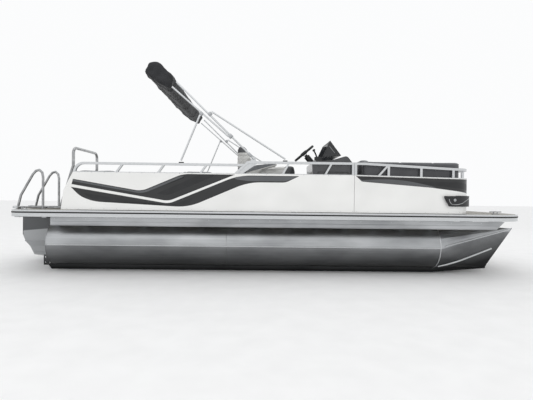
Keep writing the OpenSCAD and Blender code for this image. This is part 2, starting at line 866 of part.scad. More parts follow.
module steering_wheel() {
    rim_d = 28;
    rim_r = (wheel_d - rim_d) / 2;
    color("#232427") on_wheel() union() {
        rotate_extrude() translate([rim_r, 0]) circle(d = rim_d, $fn = 32);
        translate([0, 0, -24]) cylinder(h = 36, d = 78);
        for (a = [90, 210, 330]) rotate([0, 0, a]) translate([20, -12, -6]) cube([rim_r - 20, 24, 9]);
    }
}

module throttle() {
    at = [790, -fence_in + 100, 1568];
    color("#1e1f21") translate(at) union() {
        translate([-50, -32, -10]) cube([100, 64, 50]);
        rotate([0, -25, 0]) translate([-8, -12, 30]) cube([16, 24, 120]);
        translate([-62, -30, 132]) rotate([-90, 0, 0]) cylinder(h = 60, d = 30);
    }
}

// Everything on the helm seat turns about this axis
module on_chair() {
    translate([chair_x, chair_y, 0]) children();
}

module chair_pedestal() {
    color("#b9bcbe") on_chair() union() {
        translate([0, 0, deck_z]) cylinder(h = 16, d = 300);
        translate([0, 0, deck_z + 14]) cylinder(h = 370, d = 73);
        translate([0, 0, deck_z + 380]) cylinder(h = 22, d = 160);
    }
}

module chair_seat() {
    color("#c4c4c2") on_chair() union() {
        translate([0, 0, 1254]) cylinder(h = 20, d = 180);
        round_block(-222, 480, -190, 190, 1272, 1450, 60);
    }
}

module chair_back() {
    color("#cdcdcb") on_chair() upright(-205, 410)
        polygon([[-232, 1300], [-228, 1445], [-240, 1620], [-258, 1784], [-340, 1776], [-350, 1500], [-310, 1300]]);
}

module chair_arms() {
    arm_t = 60;
    color("#3c3d40") on_chair() for (y = [-262, 262 - arm_t + 2])
        upright(y, arm_t - 2)
            polygon([[-222, 1330], [-222, 1400], [-70, 1449], [190, 1541], [222, 1520], [190, 1488], [0, 1420],
                     [-60, 1330]]);
}

pontoon_starboard();
pontoon_port();
m_brackets();
cross_members();
deck();
side_trims();
bow_trim();
stern_trim();
skirt_starboard();
skirt_port();
motor_pod();
transom_plate();
transducer_bracket();
fence_starboard();
top_rail_starboard();
skin_starboard();
fence_port();
top_rail_port();
skin_port();
fence_bow_starboard();
fence_corner_starboard();
fence_front_starboard();
skin_bow_starboard();
fence_bow_port();
fence_corner_port();
fence_front_port();
skin_bow_port();
fence_stern();
skin_stern();
gate_hinges();
bow_gate_frame();
bow_gate_skin();
side_gate_frame();
side_gate_skin();
stern_gate_frame();
stern_gate_skin();
docking_lights();
tow_bar();
ladder_handrails();
ladder_hinges();
ladder();
cleats();
bimini_mounts();
bimini_main_bow();
bimini_second_bow();
bimini_boot();
bimini_rear_struts();
bimini_front_struts();
bow_lounge_bases();
bow_lounge_seats();
bow_lounge_backs();
stern_lounge_bases();
stern_lounge_seats();
stern_lounge_backs();
console();
windshield();
steering_column();
steering_wheel();
throttle();
chair_pedestal();
chair_seat();
chair_back();
chair_arms();
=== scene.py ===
# %% [markdown]
# # A pontoon boat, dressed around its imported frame
# The boat's structure comes in as finished solids: tubes, deck, fences, helm and bimini.
# This lesson gives each solid a real finish and adds what the solids leave out:
# sewn cushions, the canvas boot, paint bands, welds, rivets, hinges and lamps.

# %% Load the frame
import json
import math

import bmesh
import bpy
from mathutils import Matrix, Vector, noise

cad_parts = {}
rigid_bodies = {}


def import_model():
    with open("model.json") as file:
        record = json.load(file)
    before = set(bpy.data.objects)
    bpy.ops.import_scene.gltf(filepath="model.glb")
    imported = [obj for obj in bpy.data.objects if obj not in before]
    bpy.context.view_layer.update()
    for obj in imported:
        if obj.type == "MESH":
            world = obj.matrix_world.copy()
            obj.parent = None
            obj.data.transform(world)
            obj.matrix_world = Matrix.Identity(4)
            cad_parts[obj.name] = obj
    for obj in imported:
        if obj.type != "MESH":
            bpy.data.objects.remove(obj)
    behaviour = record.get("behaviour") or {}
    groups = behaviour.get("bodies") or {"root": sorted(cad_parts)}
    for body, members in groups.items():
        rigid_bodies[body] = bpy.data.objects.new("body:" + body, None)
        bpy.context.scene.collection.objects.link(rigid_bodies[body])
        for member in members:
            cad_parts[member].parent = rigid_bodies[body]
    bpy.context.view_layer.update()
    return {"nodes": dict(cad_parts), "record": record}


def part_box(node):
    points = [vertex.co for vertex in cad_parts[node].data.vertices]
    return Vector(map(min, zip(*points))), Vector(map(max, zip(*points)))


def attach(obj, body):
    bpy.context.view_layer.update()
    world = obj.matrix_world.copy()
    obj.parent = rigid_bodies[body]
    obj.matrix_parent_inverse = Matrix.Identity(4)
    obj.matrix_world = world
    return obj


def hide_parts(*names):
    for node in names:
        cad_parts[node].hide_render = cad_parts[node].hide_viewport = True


for leftover in list(bpy.data.objects):
    bpy.data.objects.remove(leftover)
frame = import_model()

# %% [markdown]
# The floor is a plain pale sheet, large enough for its far edge to melt into a pale sky.
# A curved sweep would also hide the edge, but a flat floor keeps every side view the same.

# %% Floor and sky
bpy.ops.object.select_all(action="DESELECT")
bpy.ops.mesh.primitive_plane_add(size=120)
floor = bpy.context.object
floor.name = "floor"

world = bpy.data.worlds.new("pale_sky")
world.use_nodes = True
world.node_tree.nodes["Background"].inputs["Color"].default_value = (0.97, 0.975, 0.98, 1)
world.node_tree.nodes["Background"].inputs["Strength"].default_value = 1.0
bpy.context.scene.world = world
bpy.context.scene.view_settings.view_transform = "Standard"

# %% [markdown]
# The camera stands level with the deck, a little over five metres off the starboard side.
# It could be aimed with a tracking constraint, but three turns in a row say exactly how it
# is held: a turn about the upright, a tilt, then a slight roll about its own line of sight.

# %% Camera
CAMERA_AT = (0.0031, -6.4547, 1.0510)
YAW, TILT, ROLL = (math.radians(a) for a in (-0.9223, -0.4163, 0.6908))
camera_data = bpy.data.cameras.new("side_camera")
camera_data.lens = 26.37
camera_data.sensor_width = 36
camera = bpy.data.objects.new("side_camera", camera_data)
bpy.context.collection.objects.link(camera)
turn = (Matrix.Rotation(YAW, 4, "Z") @ Matrix.Rotation(math.pi / 2 + TILT, 4, "X")
        @ Matrix.Rotation(ROLL, 4, "Z"))
camera.matrix_world = Matrix.Translation(CAMERA_AT) @ turn
bpy.context.scene.camera = camera

# %% [markdown]
# Bright metal shows what surrounds it, so the light comes from big soft panels: one over the
# boat, one in front for the painted side, and a long low one that draws a band on the tubes.

# %% Lights
def soft_panel(name, at, aim, size, power):
    data = bpy.data.lights.new(name, "AREA")
    data.shape = "RECTANGLE"
    data.size, data.size_y = size
    data.energy = power
    lamp = bpy.data.objects.new(name, data)
    bpy.context.collection.objects.link(lamp)
    lamp.location = at
    lamp.rotation_euler = (Vector(aim) - Vector(at)).to_track_quat("-Z", "Y").to_euler()
    return lamp

soft_panel("overhead", (0, 0, 8), (0, 0, 0), (10, 6), 60)
soft_panel("front_key", (-3, -9, 6), (0, 0, 1), (8, 4), 60)
soft_panel("far_fill", (4, 9, 5), (0, 0, 1), (8, 4), 30)

# %% [markdown]
# Every finish starts from a hex colour as a paint chart gives it. Screens store colours on a
# curve, and shaders want plain light, so one function turns the first into the second.
# A second small function adds a node, sets its values and joins its inputs.

# %% Colour and node helpers
def linear(hex_colour):
    parts = [int(hex_colour[i:i + 2], 16) / 255 for i in (1, 3, 5)]
    return tuple(c / 12.92 if c <= 0.04045 else ((c + 0.055) / 1.055) ** 2.4 for c in parts) + (1,)


def add_node(tree, kind, settings=None, links=None):
    made = tree.nodes.new(kind)
    for key, value in (settings or {}).items():
        if isinstance(key, str) and hasattr(made, key):
            setattr(made, key, value)
        else:
            made.inputs[key].default_value = value
    for key, source in (links or {}).items():
        tree.links.new(source, made.inputs[key])
    return made


def new_finish(name, colour, roughness, metallic=0.0, **sockets):
    finish = bpy.data.materials.new(name)
    finish.use_nodes = True
    shader = finish.node_tree.nodes["Principled BSDF"]
    shader.inputs["Base Color"].default_value = linear(colour)
    shader.inputs["Roughness"].default_value = roughness
    shader.inputs["Metallic"].default_value = metallic
    for key, value in sockets.items():
        shader.inputs[key.replace("_", " ")].default_value = value
    return finish, finish.node_tree, shader


def place(tree, stretch=(1, 1, 1)):
    where = add_node(tree, "ShaderNodeTexCoord")
    return add_node(tree, "ShaderNodeMapping", {"Scale": stretch},
                    {"Vector": where.outputs["Object"]})


def noise_at(tree, at, scale, detail):
    return add_node(tree, "ShaderNodeTexNoise", {"Scale": scale, "Detail": detail}, {"Vector": at})


def scaled_sum(tree, value, factor, added):
    return add_node(tree, "ShaderNodeMath", {"operation": "MULTIPLY_ADD", 1: factor},
                    {0: value, 2: added})


def vary(tree, shader, socket, pattern, low, high):
    ramp = add_node(tree, "ShaderNodeMapRange", {"To Min": low, "To Max": high},
                    {"Value": pattern})
    tree.links.new(ramp.outputs["Result"], shader.inputs[socket])


def tint(tree, shader, pattern, dark, light, low=0.3, high=0.7):
    ramp = add_node(tree, "ShaderNodeValToRGB", {}, {"Fac": pattern})
    for stop, at, colour in zip(ramp.color_ramp.elements, (low, high), (dark, light)):
        stop.position, stop.color = at, linear(colour)
    tree.links.new(ramp.outputs["Color"], shader.inputs["Base Color"])
    return ramp


def emboss(tree, shader, height, distance, strength=1.0):
    bump = add_node(tree, "ShaderNodeBump", {"Distance": distance, "Strength": strength},
                    {"Height": height})
    tree.links.new(bump.outputs["Normal"], shader.inputs["Normal"])
    return bump


MM = 0.001

# %% [markdown]
# ## Mill aluminium
# The tubes, brackets and skirts are 5052 sheet left as it was rolled. Rolling leaves faint
# streaks along the sheet and a cloudy, uneven shine. Stretched noise draws the streaks, and
# a second, larger noise clouds the roughness. The streaks are drawn about 4 mm wide, coarser
# than real ones, so that they show from a few metres. Below the waterline, along the tubes'
# seam, the colour is painted darker and is darkest at the bottom. This is painted shade, for the
# shade and dark reflection on the lower half. The edge of this painted shade rises over the nose.

# %% Mill aluminium
def make_mill_aluminium():
    finish, tree, shader = new_finish("mill_aluminium_5052", "#8E9092", 0.42, 1.0)
    along = place(tree, (0.5, 250, 250))
    streaks = noise_at(tree, along.outputs[0], 1.0, 3.0)
    broad = place(tree, (1.2, 3.5, 3.5))
    clouds = noise_at(tree, broad.outputs[0], 1.0, 4.0)
    mixed = scaled_sum(tree, streaks.outputs["Fac"], 0.35, clouds.outputs["Fac"])
    tint(tree, shader, mixed.outputs[0], "#8F9193", "#BCBEC0", 0.45, 0.85)
    # Painted shade: below the tubes' seam the colour is multiplied darker, darkest at the bottom,
    # and its edge rises over the nose.
    height = add_node(tree, "ShaderNodeSeparateXYZ", {}, {0: place(tree).outputs[0]})
    past_ring = add_node(tree, "ShaderNodeMath",
                         {"operation": "SUBTRACT", "use_clamp": True, 1: 2.5},
                         {0: height.outputs["X"]})
    rising = scaled_sum(tree, past_ring.outputs[0], -0.22, height.outputs["Z"])
    wobble = scaled_sum(tree, clouds.outputs["Fac"], 0.012, rising.outputs[0])
    below = add_node(tree, "ShaderNodeValToRGB", {}, {"Fac": wobble.outputs[0]})
    stops = below.color_ramp.elements
    stops[0].position, stops[0].color = 0.02, linear("#3E3E3E")
    stops[1].position, stops[1].color = 0.372, linear("#C0C0C0")
    stops.new(0.384).color = linear("#FFFFFF")
    painted_shade = add_node(tree, "ShaderNodeMix",
                       {"data_type": "RGBA", "blend_type": "MULTIPLY", "Factor": 1.0})
    tree.links.new(shader.inputs["Base Color"].links[0].from_socket, painted_shade.inputs["A"])
    tree.links.new(below.outputs["Color"], painted_shade.inputs["B"])
    tree.links.new(painted_shade.outputs["Result"], shader.inputs["Base Color"])
    vary(tree, shader, "Roughness", clouds.outputs["Fac"], 0.28, 0.5)
    emboss(tree, shader, streaks.outputs["Fac"], 0.15 * MM, 0.5)
    return finish


mill_aluminium = make_mill_aluminium()

# %% [markdown]
# ## Anodised aluminium
# Rails, trims and bimini tubes are extruded 6063 with a clear satin anodising: even, silky
# and slightly paler than the sheet. Fine grain in the roughness is all it needs.

# %% Anodised aluminium
def make_anodised():
    finish, tree, shader = new_finish("satin_anodised_aluminium", "#B9BBBD", 0.3, 1.0)
    fine = place(tree, (30, 400, 400))
    grain = noise_at(tree, fine.outputs[0], 1.0, 2.0)
    vary(tree, shader, "Roughness", grain.outputs["Fac"], 0.24, 0.4)
    tint(tree, shader, grain.outputs["Fac"], "#C2C4C6", "#D8DADB")
    return finish


anodised = make_anodised()

# %% [markdown]
# ## Stainless steel
# The tow bar, handrails, ladder and cleats are 316 tube, polished until it mirrors.
# Handling leaves smears, which a slow noise puts into the roughness.

# %% Polished stainless steel
def make_stainless():
    finish, tree, shader = new_finish("polished_stainless_316", "#A2A3A4", 0.14, 1.0)
    smears = noise_at(tree, place(tree).outputs[0], 18.0, 3.0)
    vary(tree, shader, "Roughness", smears.outputs["Fac"], 0.07, 0.2)
    tint(tree, shader, smears.outputs["Fac"], "#8E8F90", "#B4B5B6")
    return finish


stainless = make_stainless()

# %% [markdown]
# ## Paints
# The fence skins are coil-coated sheet: flat white enamel, glossy, with the faint ripple
# that thin sheet always has. Band paint is the same enamel in dark greys. The pod wears a
# rolled-on light grey coat. Above a line that rises towards the bow its colour is painted
# dark grey, a painted shadow. The transom wears a black coat.

# %% Enamel paints
def make_enamel(name, colour, low, high, ripple=1.0, coat=0.4):
    finish, tree, shader = new_finish(name, colour, 0.3, Coat_Weight=coat, Coat_Roughness=0.08)
    broad = place(tree, (2, 2, 3))
    waves = noise_at(tree, broad.outputs[0], 1.0, 1.0)
    dust = noise_at(tree, place(tree).outputs[0], 60.0, 4.0)
    tint(tree, shader, waves.outputs["Fac"], low, high)
    vary(tree, shader, "Roughness", dust.outputs["Fac"], 0.24, 0.38)
    emboss(tree, shader, waves.outputs["Fac"], ripple * MM, 0.6)
    return finish


white_enamel = make_enamel("white_enamel_on_sheet", "#EDEDEB", "#E9E9E7", "#F1F1EF")
band_charcoal = make_enamel("charcoal_band_enamel", "#222324", "#1E1F20", "#28292A", coat=0.05)
band_grey = make_enamel("grey_band_enamel", "#545659", "#4E5052", "#5A5C5F", coat=0.1)
pod_paint = make_enamel("grey_pod_paint", "#4E5052", "#47494B", "#57595B", 2.0, 0.1)
pod_tree, pod_shader = pod_paint.node_tree, pod_paint.node_tree.nodes["Principled BSDF"]
# Painted shadow: the pod is light grey below a line rising towards the bow, and painted dark grey
# above it.
pod_height = add_node(pod_tree, "ShaderNodeSeparateXYZ", {},
                      {0: place(pod_tree, (-0.09, 1, 1)).outputs[0]})
pod_shadow_edge = add_node(pod_tree, "ShaderNodeMath", {"operation": "ADD"},
                    {0: pod_height.outputs["X"], 1: pod_height.outputs["Z"]})
tint(pod_tree, pod_shader, pod_shadow_edge.outputs[0], "#A4A6A8", "#505254", 0.818, 0.826)
transom_paint = make_enamel("black_transom_paint", "#232527", "#1E2022", "#2A2C2E", 1.0, 0.1)

# %% [markdown]
# ## Marine vinyl
# Seat covers are expanded vinyl with an embossed leather grain, about 2 mm from crease to
# crease. It is drawn at 5 mm so the grain shows. Cells from a Voronoi pattern give the
# creases, and a slow noise gives the soft patches left by sun and sitting.

# %% Marine vinyl
def make_vinyl(name, dark, light):
    finish, tree, shader = new_finish(name, light, 0.5, Sheen_Weight=0.08)
    at = place(tree).outputs[0]
    grain = add_node(tree, "ShaderNodeTexVoronoi", {"feature": "DISTANCE_TO_EDGE", "Scale": 200.0},
                     {"Vector": at})
    patches = noise_at(tree, at, 5.0, 3.0)
    tint(tree, shader, patches.outputs["Fac"], dark, light)
    vary(tree, shader, "Roughness", patches.outputs["Fac"], 0.42, 0.58)
    emboss(tree, shader, grain.outputs["Distance"], 0.6 * MM, 0.5)
    return finish


light_vinyl = make_vinyl("light_grey_marine_vinyl", "#BDBDBB", "#CFCFCC")
mid_vinyl = make_vinyl("mid_grey_marine_vinyl", "#66686B", "#7A7C7F")
dark_vinyl = make_vinyl("dark_grey_marine_vinyl", "#3C3D40", "#4D4E51")
black_vinyl = make_vinyl("black_piping_vinyl", "#1A1B1D", "#232426")

# %% [markdown]
# ## Acrylic canvas
# The boot is solution-dyed acrylic canvas. Its threads are 0.5 mm apart, drawn here at 3 mm.
# Two crossed bands of waves make the weave, and noise fades the colour along the folds.

# %% Acrylic canvas
def make_canvas():
    finish, tree, shader = new_finish("charcoal_acrylic_canvas", "#2A2B2D", 0.9, Sheen_Weight=0.12)
    at = place(tree).outputs[0]
    warp = add_node(tree, "ShaderNodeTexWave",
                    {"bands_direction": "Y", "Scale": 105.0, "Distortion": 0.4},
                    {"Vector": at})
    weft = add_node(tree, "ShaderNodeTexWave", {"bands_direction": "DIAGONAL", "Scale": 105.0,
                                                "Distortion": 0.4}, {"Vector": at})
    weave = add_node(tree, "ShaderNodeMath", {"operation": "MULTIPLY"},
                     {0: warp.outputs["Fac"], 1: weft.outputs["Fac"]})
    fade = noise_at(tree, at, 6.0, 5.0)
    tint(tree, shader, fade.outputs["Fac"], "#1E1F21", "#303134")
    emboss(tree, shader, weave.outputs[0], 0.3 * MM, 0.3)
    return finish


canvas = make_canvas()

# %% [markdown]
# ## Plastics, rubber and the console's gelcoat
# Moulded parts share one recipe: a base colour, a fine spark-eroded grain and a roughness
# that wanders a little. Gelcoat is smoother and has a clear, polished top.

# %% Moulded plastics
def make_moulded(name, dark, light, roughness, grain_mm, coat=0.0):
    finish, tree, shader = new_finish(name, light, roughness, Coat_Weight=coat,
                                      Coat_Roughness=0.06)
    at = place(tree).outputs[0]
    grain = noise_at(tree, at, 1 / (grain_mm * MM), 2.0)
    slow = noise_at(tree, at, 9.0, 2.0)
    tint(tree, shader, slow.outputs["Fac"], dark, light)
    vary(tree, shader, "Roughness", slow.outputs["Fac"], roughness - 0.06, roughness + 0.06)
    emboss(tree, shader, grain.outputs["Fac"], 0.3 * MM, 0.35)
    return finish


black_plastic = make_moulded("black_moulded_abs", "#17181A", "#212224", 0.42, 3)
seat_plastic = make_moulded("grey_rotomoulded_polyethylene", "#66686B", "#727477", 0.55, 4)
gelcoat = make_moulded("dark_grey_gelcoat", "#333437", "#3F4043", 0.26, 6, 0.6)
rim_rubber = make_moulded("soft_black_rim_urethane", "#1C1D1F", "#28292B", 0.6, 3)
edge_rubber = make_moulded("black_rub_rail_rubber", "#0F1011", "#1A1B1C", 0.62, 4)

# %% [markdown]
# ## Smoked acrylic, lamp glass and woven flooring
# The windshield lets a little light through, so it is a dark glass of acrylic's own index.
# The floor is woven vinyl: flat ribs about 4 mm wide that cross like basketwork.

# %% Acrylic, glass and flooring
def make_clear(name, colour, roughness, transmission, index):
    finish, tree, shader = new_finish(name, colour, roughness, Transmission_Weight=transmission,
                                      IOR=index)
    haze = noise_at(tree, place(tree).outputs[0], 12.0, 2.0)
    vary(tree, shader, "Roughness", haze.outputs["Fac"], roughness * 0.6, roughness * 1.5)
    return finish


smoked_acrylic = make_clear("smoked_acrylic", "#3A3C3F", 0.06, 0.55, 1.49)
lamp_glass = make_clear("clear_lamp_polycarbonate", "#E4E8EA", 0.04, 0.6, 1.58)


def make_flooring():
    finish, tree, shader = new_finish("woven_vinyl_flooring", "#A5A29B", 0.78)
    at = place(tree).outputs[0]
    ribs = add_node(tree, "ShaderNodeTexChecker", {"Scale": 125.0}, {"Vector": at})
    soil = noise_at(tree, at, 3.0, 5.0)
    both = scaled_sum(tree, ribs.outputs["Fac"], 0.25, soil.outputs["Fac"])
    tint(tree, shader, both.outputs[0], "#86837D", "#ACA9A2", 0.35, 0.85)
    emboss(tree, shader, ribs.outputs["Fac"], 0.8 * MM, 0.5)
    return finish


flooring = make_flooring()
floor_paint, floor_tree, floor_shader = new_finish("pale_studio_floor", "#D6D6D6", 0.8)
floor_specks = add_node(floor_tree, "ShaderNodeTexNoise", {"Scale": 4.0},
                        {"Vector": place(floor_tree).outputs[0]})
tint(floor_tree, floor_shader, floor_specks.outputs["Fac"], "#EEEEEE", "#F2F2F2")
floor.data.materials.append(floor_paint)
print("finishes ready:", len(bpy.data.materials))

# %% [markdown]
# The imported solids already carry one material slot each. Their shapes stay as they are, and
# each slot is handed its real finish here, so a node and the list below always agree.

# %% Dress the solids
FINISH_OF = {
    "mill_aluminium": mill_aluminium, "anodised_aluminium": anodised, "deck_vinyl": flooring,
    "pod_paint": pod_paint, "transom_paint": transom_paint, "skin_paint": white_enamel,
    "black_plastic": black_plastic, "stainless_steel": stainless, "boot_canvas": canvas,
    "seat_base_plastic": seat_plastic, "light_vinyl": light_vinyl, "dark_vinyl": dark_vinyl,
    "console_shell": gelcoat, "tinted_acrylic": smoked_acrylic, "wheel_rubber": rim_rubber,
}
SLOT_OF = {finish.name: slot for slot, finish in FINISH_OF.items()}
for part in frame["record"]["subparts"]:
    solid = frame["nodes"][part["node"]]
    solid.data.materials.clear()
    solid.data.materials.append(FINISH_OF[part["material_slot"]])

# %% [markdown]
# ## Tools for modelling
# New pieces start as primitives or drawn lines, are shaped in edit mode and finished with
# modifiers. Everything is deselected first, because an operator acts on all that is selected.
# A finished piece has its place in its mesh, so its object can sit at the origin.

# %% Modelling helpers
def pick(*chosen):
    bpy.ops.object.select_all(action="DESELECT")
    for piece in chosen:
        piece.select_set(True)
    bpy.context.view_layer.objects.active = chosen[0]


def apply_modifier(piece, kind, **settings):
    pick(piece)
    modifier = piece.modifiers.new(kind.title(), kind)
    for key, value in settings.items():
        setattr(modifier, key, value)
    bpy.ops.object.modifier_apply(modifier=modifier.name)


def joined(pieces):
    pick(*pieces)
    if len(pieces) > 1:
        bpy.ops.object.join()
    return bpy.context.object


def settle(piece, name, body, finish, smooth=35, slot=None):
    slot = slot or SLOT_OF[finish.name]
    pick(piece)
    bpy.ops.object.transform_apply(location=True, rotation=True, scale=True)
    piece.name = piece.data.name = name
    piece.data.materials.clear()
    piece.data.materials.append(finish)
    bpy.ops.object.shade_smooth_by_angle(angle=math.radians(smooth))
    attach(piece, body)
    return piece


def bar(low, high, bevel=0.003):
    centre = [(a + b) / 2 for a, b in zip(low, high)]
    size = [abs(b - a) for a, b in zip(low, high)]
    bpy.ops.object.select_all(action="DESELECT")
    bpy.ops.mesh.primitive_cube_add(size=1, location=centre)
    piece = bpy.context.object
    piece.scale = size
    bpy.ops.object.transform_apply(location=True, rotation=True, scale=True)
    apply_modifier(piece, "BEVEL", width=bevel, segments=2)
    return piece


def disc(at, axis, radius, depth, bevel=0.002, sides=24):
    bpy.ops.object.select_all(action="DESELECT")
    bpy.ops.mesh.primitive_cylinder_add(vertices=sides, radius=radius, depth=depth, location=at)
    piece = bpy.context.object
    piece.rotation_euler = Vector(axis).to_track_quat("Z", "Y").to_euler()
    bpy.ops.object.transform_apply(location=True, rotation=True, scale=True)
    apply_modifier(piece, "BEVEL", width=bevel, segments=2, limit_method="ANGLE")
    return piece


def linked(name, data):
    piece = bpy.data.objects.new(name, data)
    bpy.context.collection.objects.link(piece)
    return piece


def twin_of(piece):
    twin = piece.copy()
    twin.data = piece.data.copy()
    bpy.context.collection.objects.link(twin)
    return twin


def pipe(points, radius, closed=False, rounds=3):
    line = bpy.data.curves.new("line", "CURVE")
    line.dimensions = "3D"
    spline = line.splines.new("POLY")
    spline.points.add(len(points) - 1)
    for knot, at in zip(spline.points, points):
        knot.co = (*at, 1)
    spline.use_cyclic_u = closed
    piece = linked("line", line)
    piece.data.bevel_depth = radius
    piece.data.bevel_resolution = rounds
    piece.data.use_fill_caps = True
    pick(piece)
    bpy.ops.object.convert(target="MESH")
    return bpy.context.object


def copies(piece, places):
    made = [piece]
    for at in places:
        twin = twin_of(piece)
        twin.location = at
        made.append(twin)
    bpy.data.objects.remove(made.pop(0))
    one = joined(made)
    bpy.ops.object.transform_apply(location=True, rotation=True, scale=True)
    return one


def dome(axis, radius, height):
    bpy.ops.object.select_all(action="DESELECT")
    bpy.ops.mesh.primitive_uv_sphere_add(segments=8, ring_count=5, radius=radius)
    piece = bpy.context.object
    piece.scale = (1, 1, height / radius)
    piece.rotation_euler = Vector(axis).to_track_quat("Z", "Y").to_euler()
    bpy.ops.object.transform_apply(location=True, rotation=True, scale=True)
    return piece


def mirrored(piece):
    twin = twin_of(piece)
    twin.scale = (1, -1, 1)
    pick(twin)
    bpy.ops.object.transform_apply(location=True, rotation=True, scale=True)
    bpy.ops.object.mode_set(mode="EDIT")
    bpy.ops.mesh.select_all(action="SELECT")
    bpy.ops.mesh.remove_doubles(threshold=0.00001)
    bpy.ops.mesh.normals_make_consistent(inside=False)
    bpy.ops.object.mode_set(mode="OBJECT")
    return twin


def settle_pair(piece, name, *looks):
    """Settles a starboard piece and its mirror image to port."""
    settle(piece, name + "_starboard", "hull", *looks)
    settle(mirrored(piece), name + "_port", "hull", *looks)


# %% [markdown]
# Most places come from the frame. These few are read from its solids once and named.

# %% Places read from the frame
skin_low, skin_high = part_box("skin_starboard")
trim_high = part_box("bow_trim")[1]
tube_low, tube_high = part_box("pontoon_port")
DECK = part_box("deck")[1][2]
SKIN_OUT = skin_high[1] if skin_high[1] > 0 else -skin_low[1]
HALF_BEAM = trim_high[1]
BOW = trim_high[0]
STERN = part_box("stern_trim")[0][0]
TUBE_R = 0.318
TUBE_Y = (tube_low[1] + tube_high[1]) / 2
TUBE_Z = tube_high[2] - TUBE_R
RING_X = 2.478
CORNER_X, CORNER_Y = 2.61, 0.985
CORNER_R = SKIN_OUT - CORNER_Y
SIDES = ((-1, "starboard"), (1, "port"))
RAIL_Y = 1.235
BOW_LEG_Y = 1.272
TAPER_START = 1.262
GATE_EDGE = 0.332
LOW_RIVETS = 0.873
CLOTH_FRAMES = 14
RIM_R = 0.158
print("deck at", DECK, "skin at", SKIN_OUT, "tube axis", TUBE_Y, TUBE_Z)

# %% [markdown]
# ## Painted bands
# The fence carries swept bands of dark enamel. They could be drawn in the paint's shader,
# but their edges are long, rounded sweeps, so each band is cut as a thin sheet from an
# outline with eased corners, as a sign maker cuts film, and laid on the skin.

# %% Band cutter
def eased(corners):
    """Outline through corners given as x, z or x, z, easing length, in millimetres."""
    outline = []
    for i, corner in enumerate(corners):
        here = Vector(corner[:2])
        if len(corner) == 2:
            outline.append(here)
            continue
        before = Vector(corners[i - 1][:2])
        after = Vector(corners[(i + 1) % len(corners)][:2])
        start = here + (before - here).normalized() * corner[2]
        end = here + (after - here).normalized() * corner[2]
        for step in range(9):
            t = step / 8
            outline.append(start * (1 - t) ** 2 + here * 2 * t * (1 - t) + end * t * t)
    return outline


def band(name, corners, finish, lift, thick=0.8):
    flat = bpy.data.curves.new(name, "CURVE")
    flat.dimensions = "2D"
    flat.fill_mode = "BOTH"
    flat.extrude = thick * MM / 2
    outline = eased(corners)
    spline = flat.splines.new("POLY")
    spline.points.add(len(outline) - 1)
    for knot, at in zip(spline.points, outline):
        knot.co = (at.x * MM, at.y * MM, 0, 1)
    spline.use_cyclic_u = True
    pick(linked(name, flat))
    bpy.ops.object.convert(target="MESH")
    piece = bpy.context.object
    piece.rotation_euler = (math.pi / 2, 0, 0)
    piece.location = (0, -SKIN_OUT - (lift + thick / 2) * MM, 0)
    settle_pair(piece, name, finish, 35, "skin_paint")


band("upper_band",
     [(-2474, 1263), (-1572, 1112, 90), (-1030, 1346, 90), (-335, 1346), (-1214, 984, 70),
      (-2491, 1193)], band_charcoal, 0)
band("upper_streak",
     [(-1390, 1075, 60), (-1020, 1240, 50), (-800, 1345), (-560, 1345), (-1205, 1062, 80)],
     black_plastic, 0.8, 0.4)
band("upper_glow",
     [(-2470, 1255), (-1568, 1102, 90), (-1040, 1330, 60), (-1010, 1310), (-1560, 1078, 90),
      (-2478, 1232)], band_grey, 0.8, 0.4)
band("lower_band",
     [(-2502, 1157), (-1209, 950, 70), (-290, 1336, 170), (520, 1336), (340, 1248, 50),
      (-160, 1246, 170), (-950, 905, 170), (-2230, 968, 130), (-2390, 1045, 60)],
     band_charcoal, 0)
band("lower_glow",
     [(-380, 1290, 90), (-290, 1326, 90), (500, 1328), (340, 1262, 50), (-150, 1262, 100)],
     band_grey, 0.8, 0.4)
band("lower_streak",
     [(-2330, 1075), (-1209, 925, 60), (-880, 1030), (-960, 925, 100), (-2210, 985, 100)],
     black_plastic, 0.8, 0.4)

# %% [markdown]
# The bow band runs round the fence's corner to the gate. A grid of narrow faces is bent along
# the skin: its length follows the side, the arc and the front, and its height the taper.

# %% Bow band
def on_skin(run, z, lift):
    """Point at a run along the side from amidships, round the starboard bow corner."""
    out = SKIN_OUT + lift
    if run <= CORNER_X:
        return Vector((run, -out, z))
    turned = (run - CORNER_X) / CORNER_R
    if turned < math.pi / 2:
        reach = CORNER_R + lift
        return Vector((CORNER_X + reach * math.sin(turned),
                       -CORNER_Y - reach * math.cos(turned), z))
    return Vector((CORNER_X + CORNER_R + lift,
                   -CORNER_Y + run - CORNER_X - CORNER_R * math.pi / 2, z))


FENCE_END = CORNER_X + CORNER_R * math.pi / 2 + CORNER_Y - GATE_EDGE


def skin_strip(name, start, end, low_at, high_at, lift, finish):
    bpy.ops.object.select_all(action="DESELECT")
    bpy.ops.mesh.primitive_grid_add(x_subdivisions=96, y_subdivisions=1, size=2)
    piece = bpy.context.object
    for vertex in piece.data.vertices:
        across, up = (vertex.co.x + 1) / 2, (vertex.co.y + 1) / 2
        run = start + (end - start) * across
        vertex.co = on_skin(run, low_at(run) * (1 - up) + high_at(run) * up, lift)
    apply_modifier(piece, "SOLIDIFY", thickness=0.0006, offset=-1)
    settle_pair(piece, name, finish, 60, "skin_paint")


def skin_top_at(run):
    return 1.36 - 0.024 * min(max((run - TAPER_START) / (CORNER_X - TAPER_START), 0), 1)


def ramp_up(run):
    return min(max((run - 1.75) / 0.9, 0), 1)


def bow_band_low(run):
    return max(skin_top_at(run) - 0.012 - (run - 1.28) * 0.9,
               1.277 - (run - 1.32) * 0.0745 - max(0, run - 2.3) * 0.05)


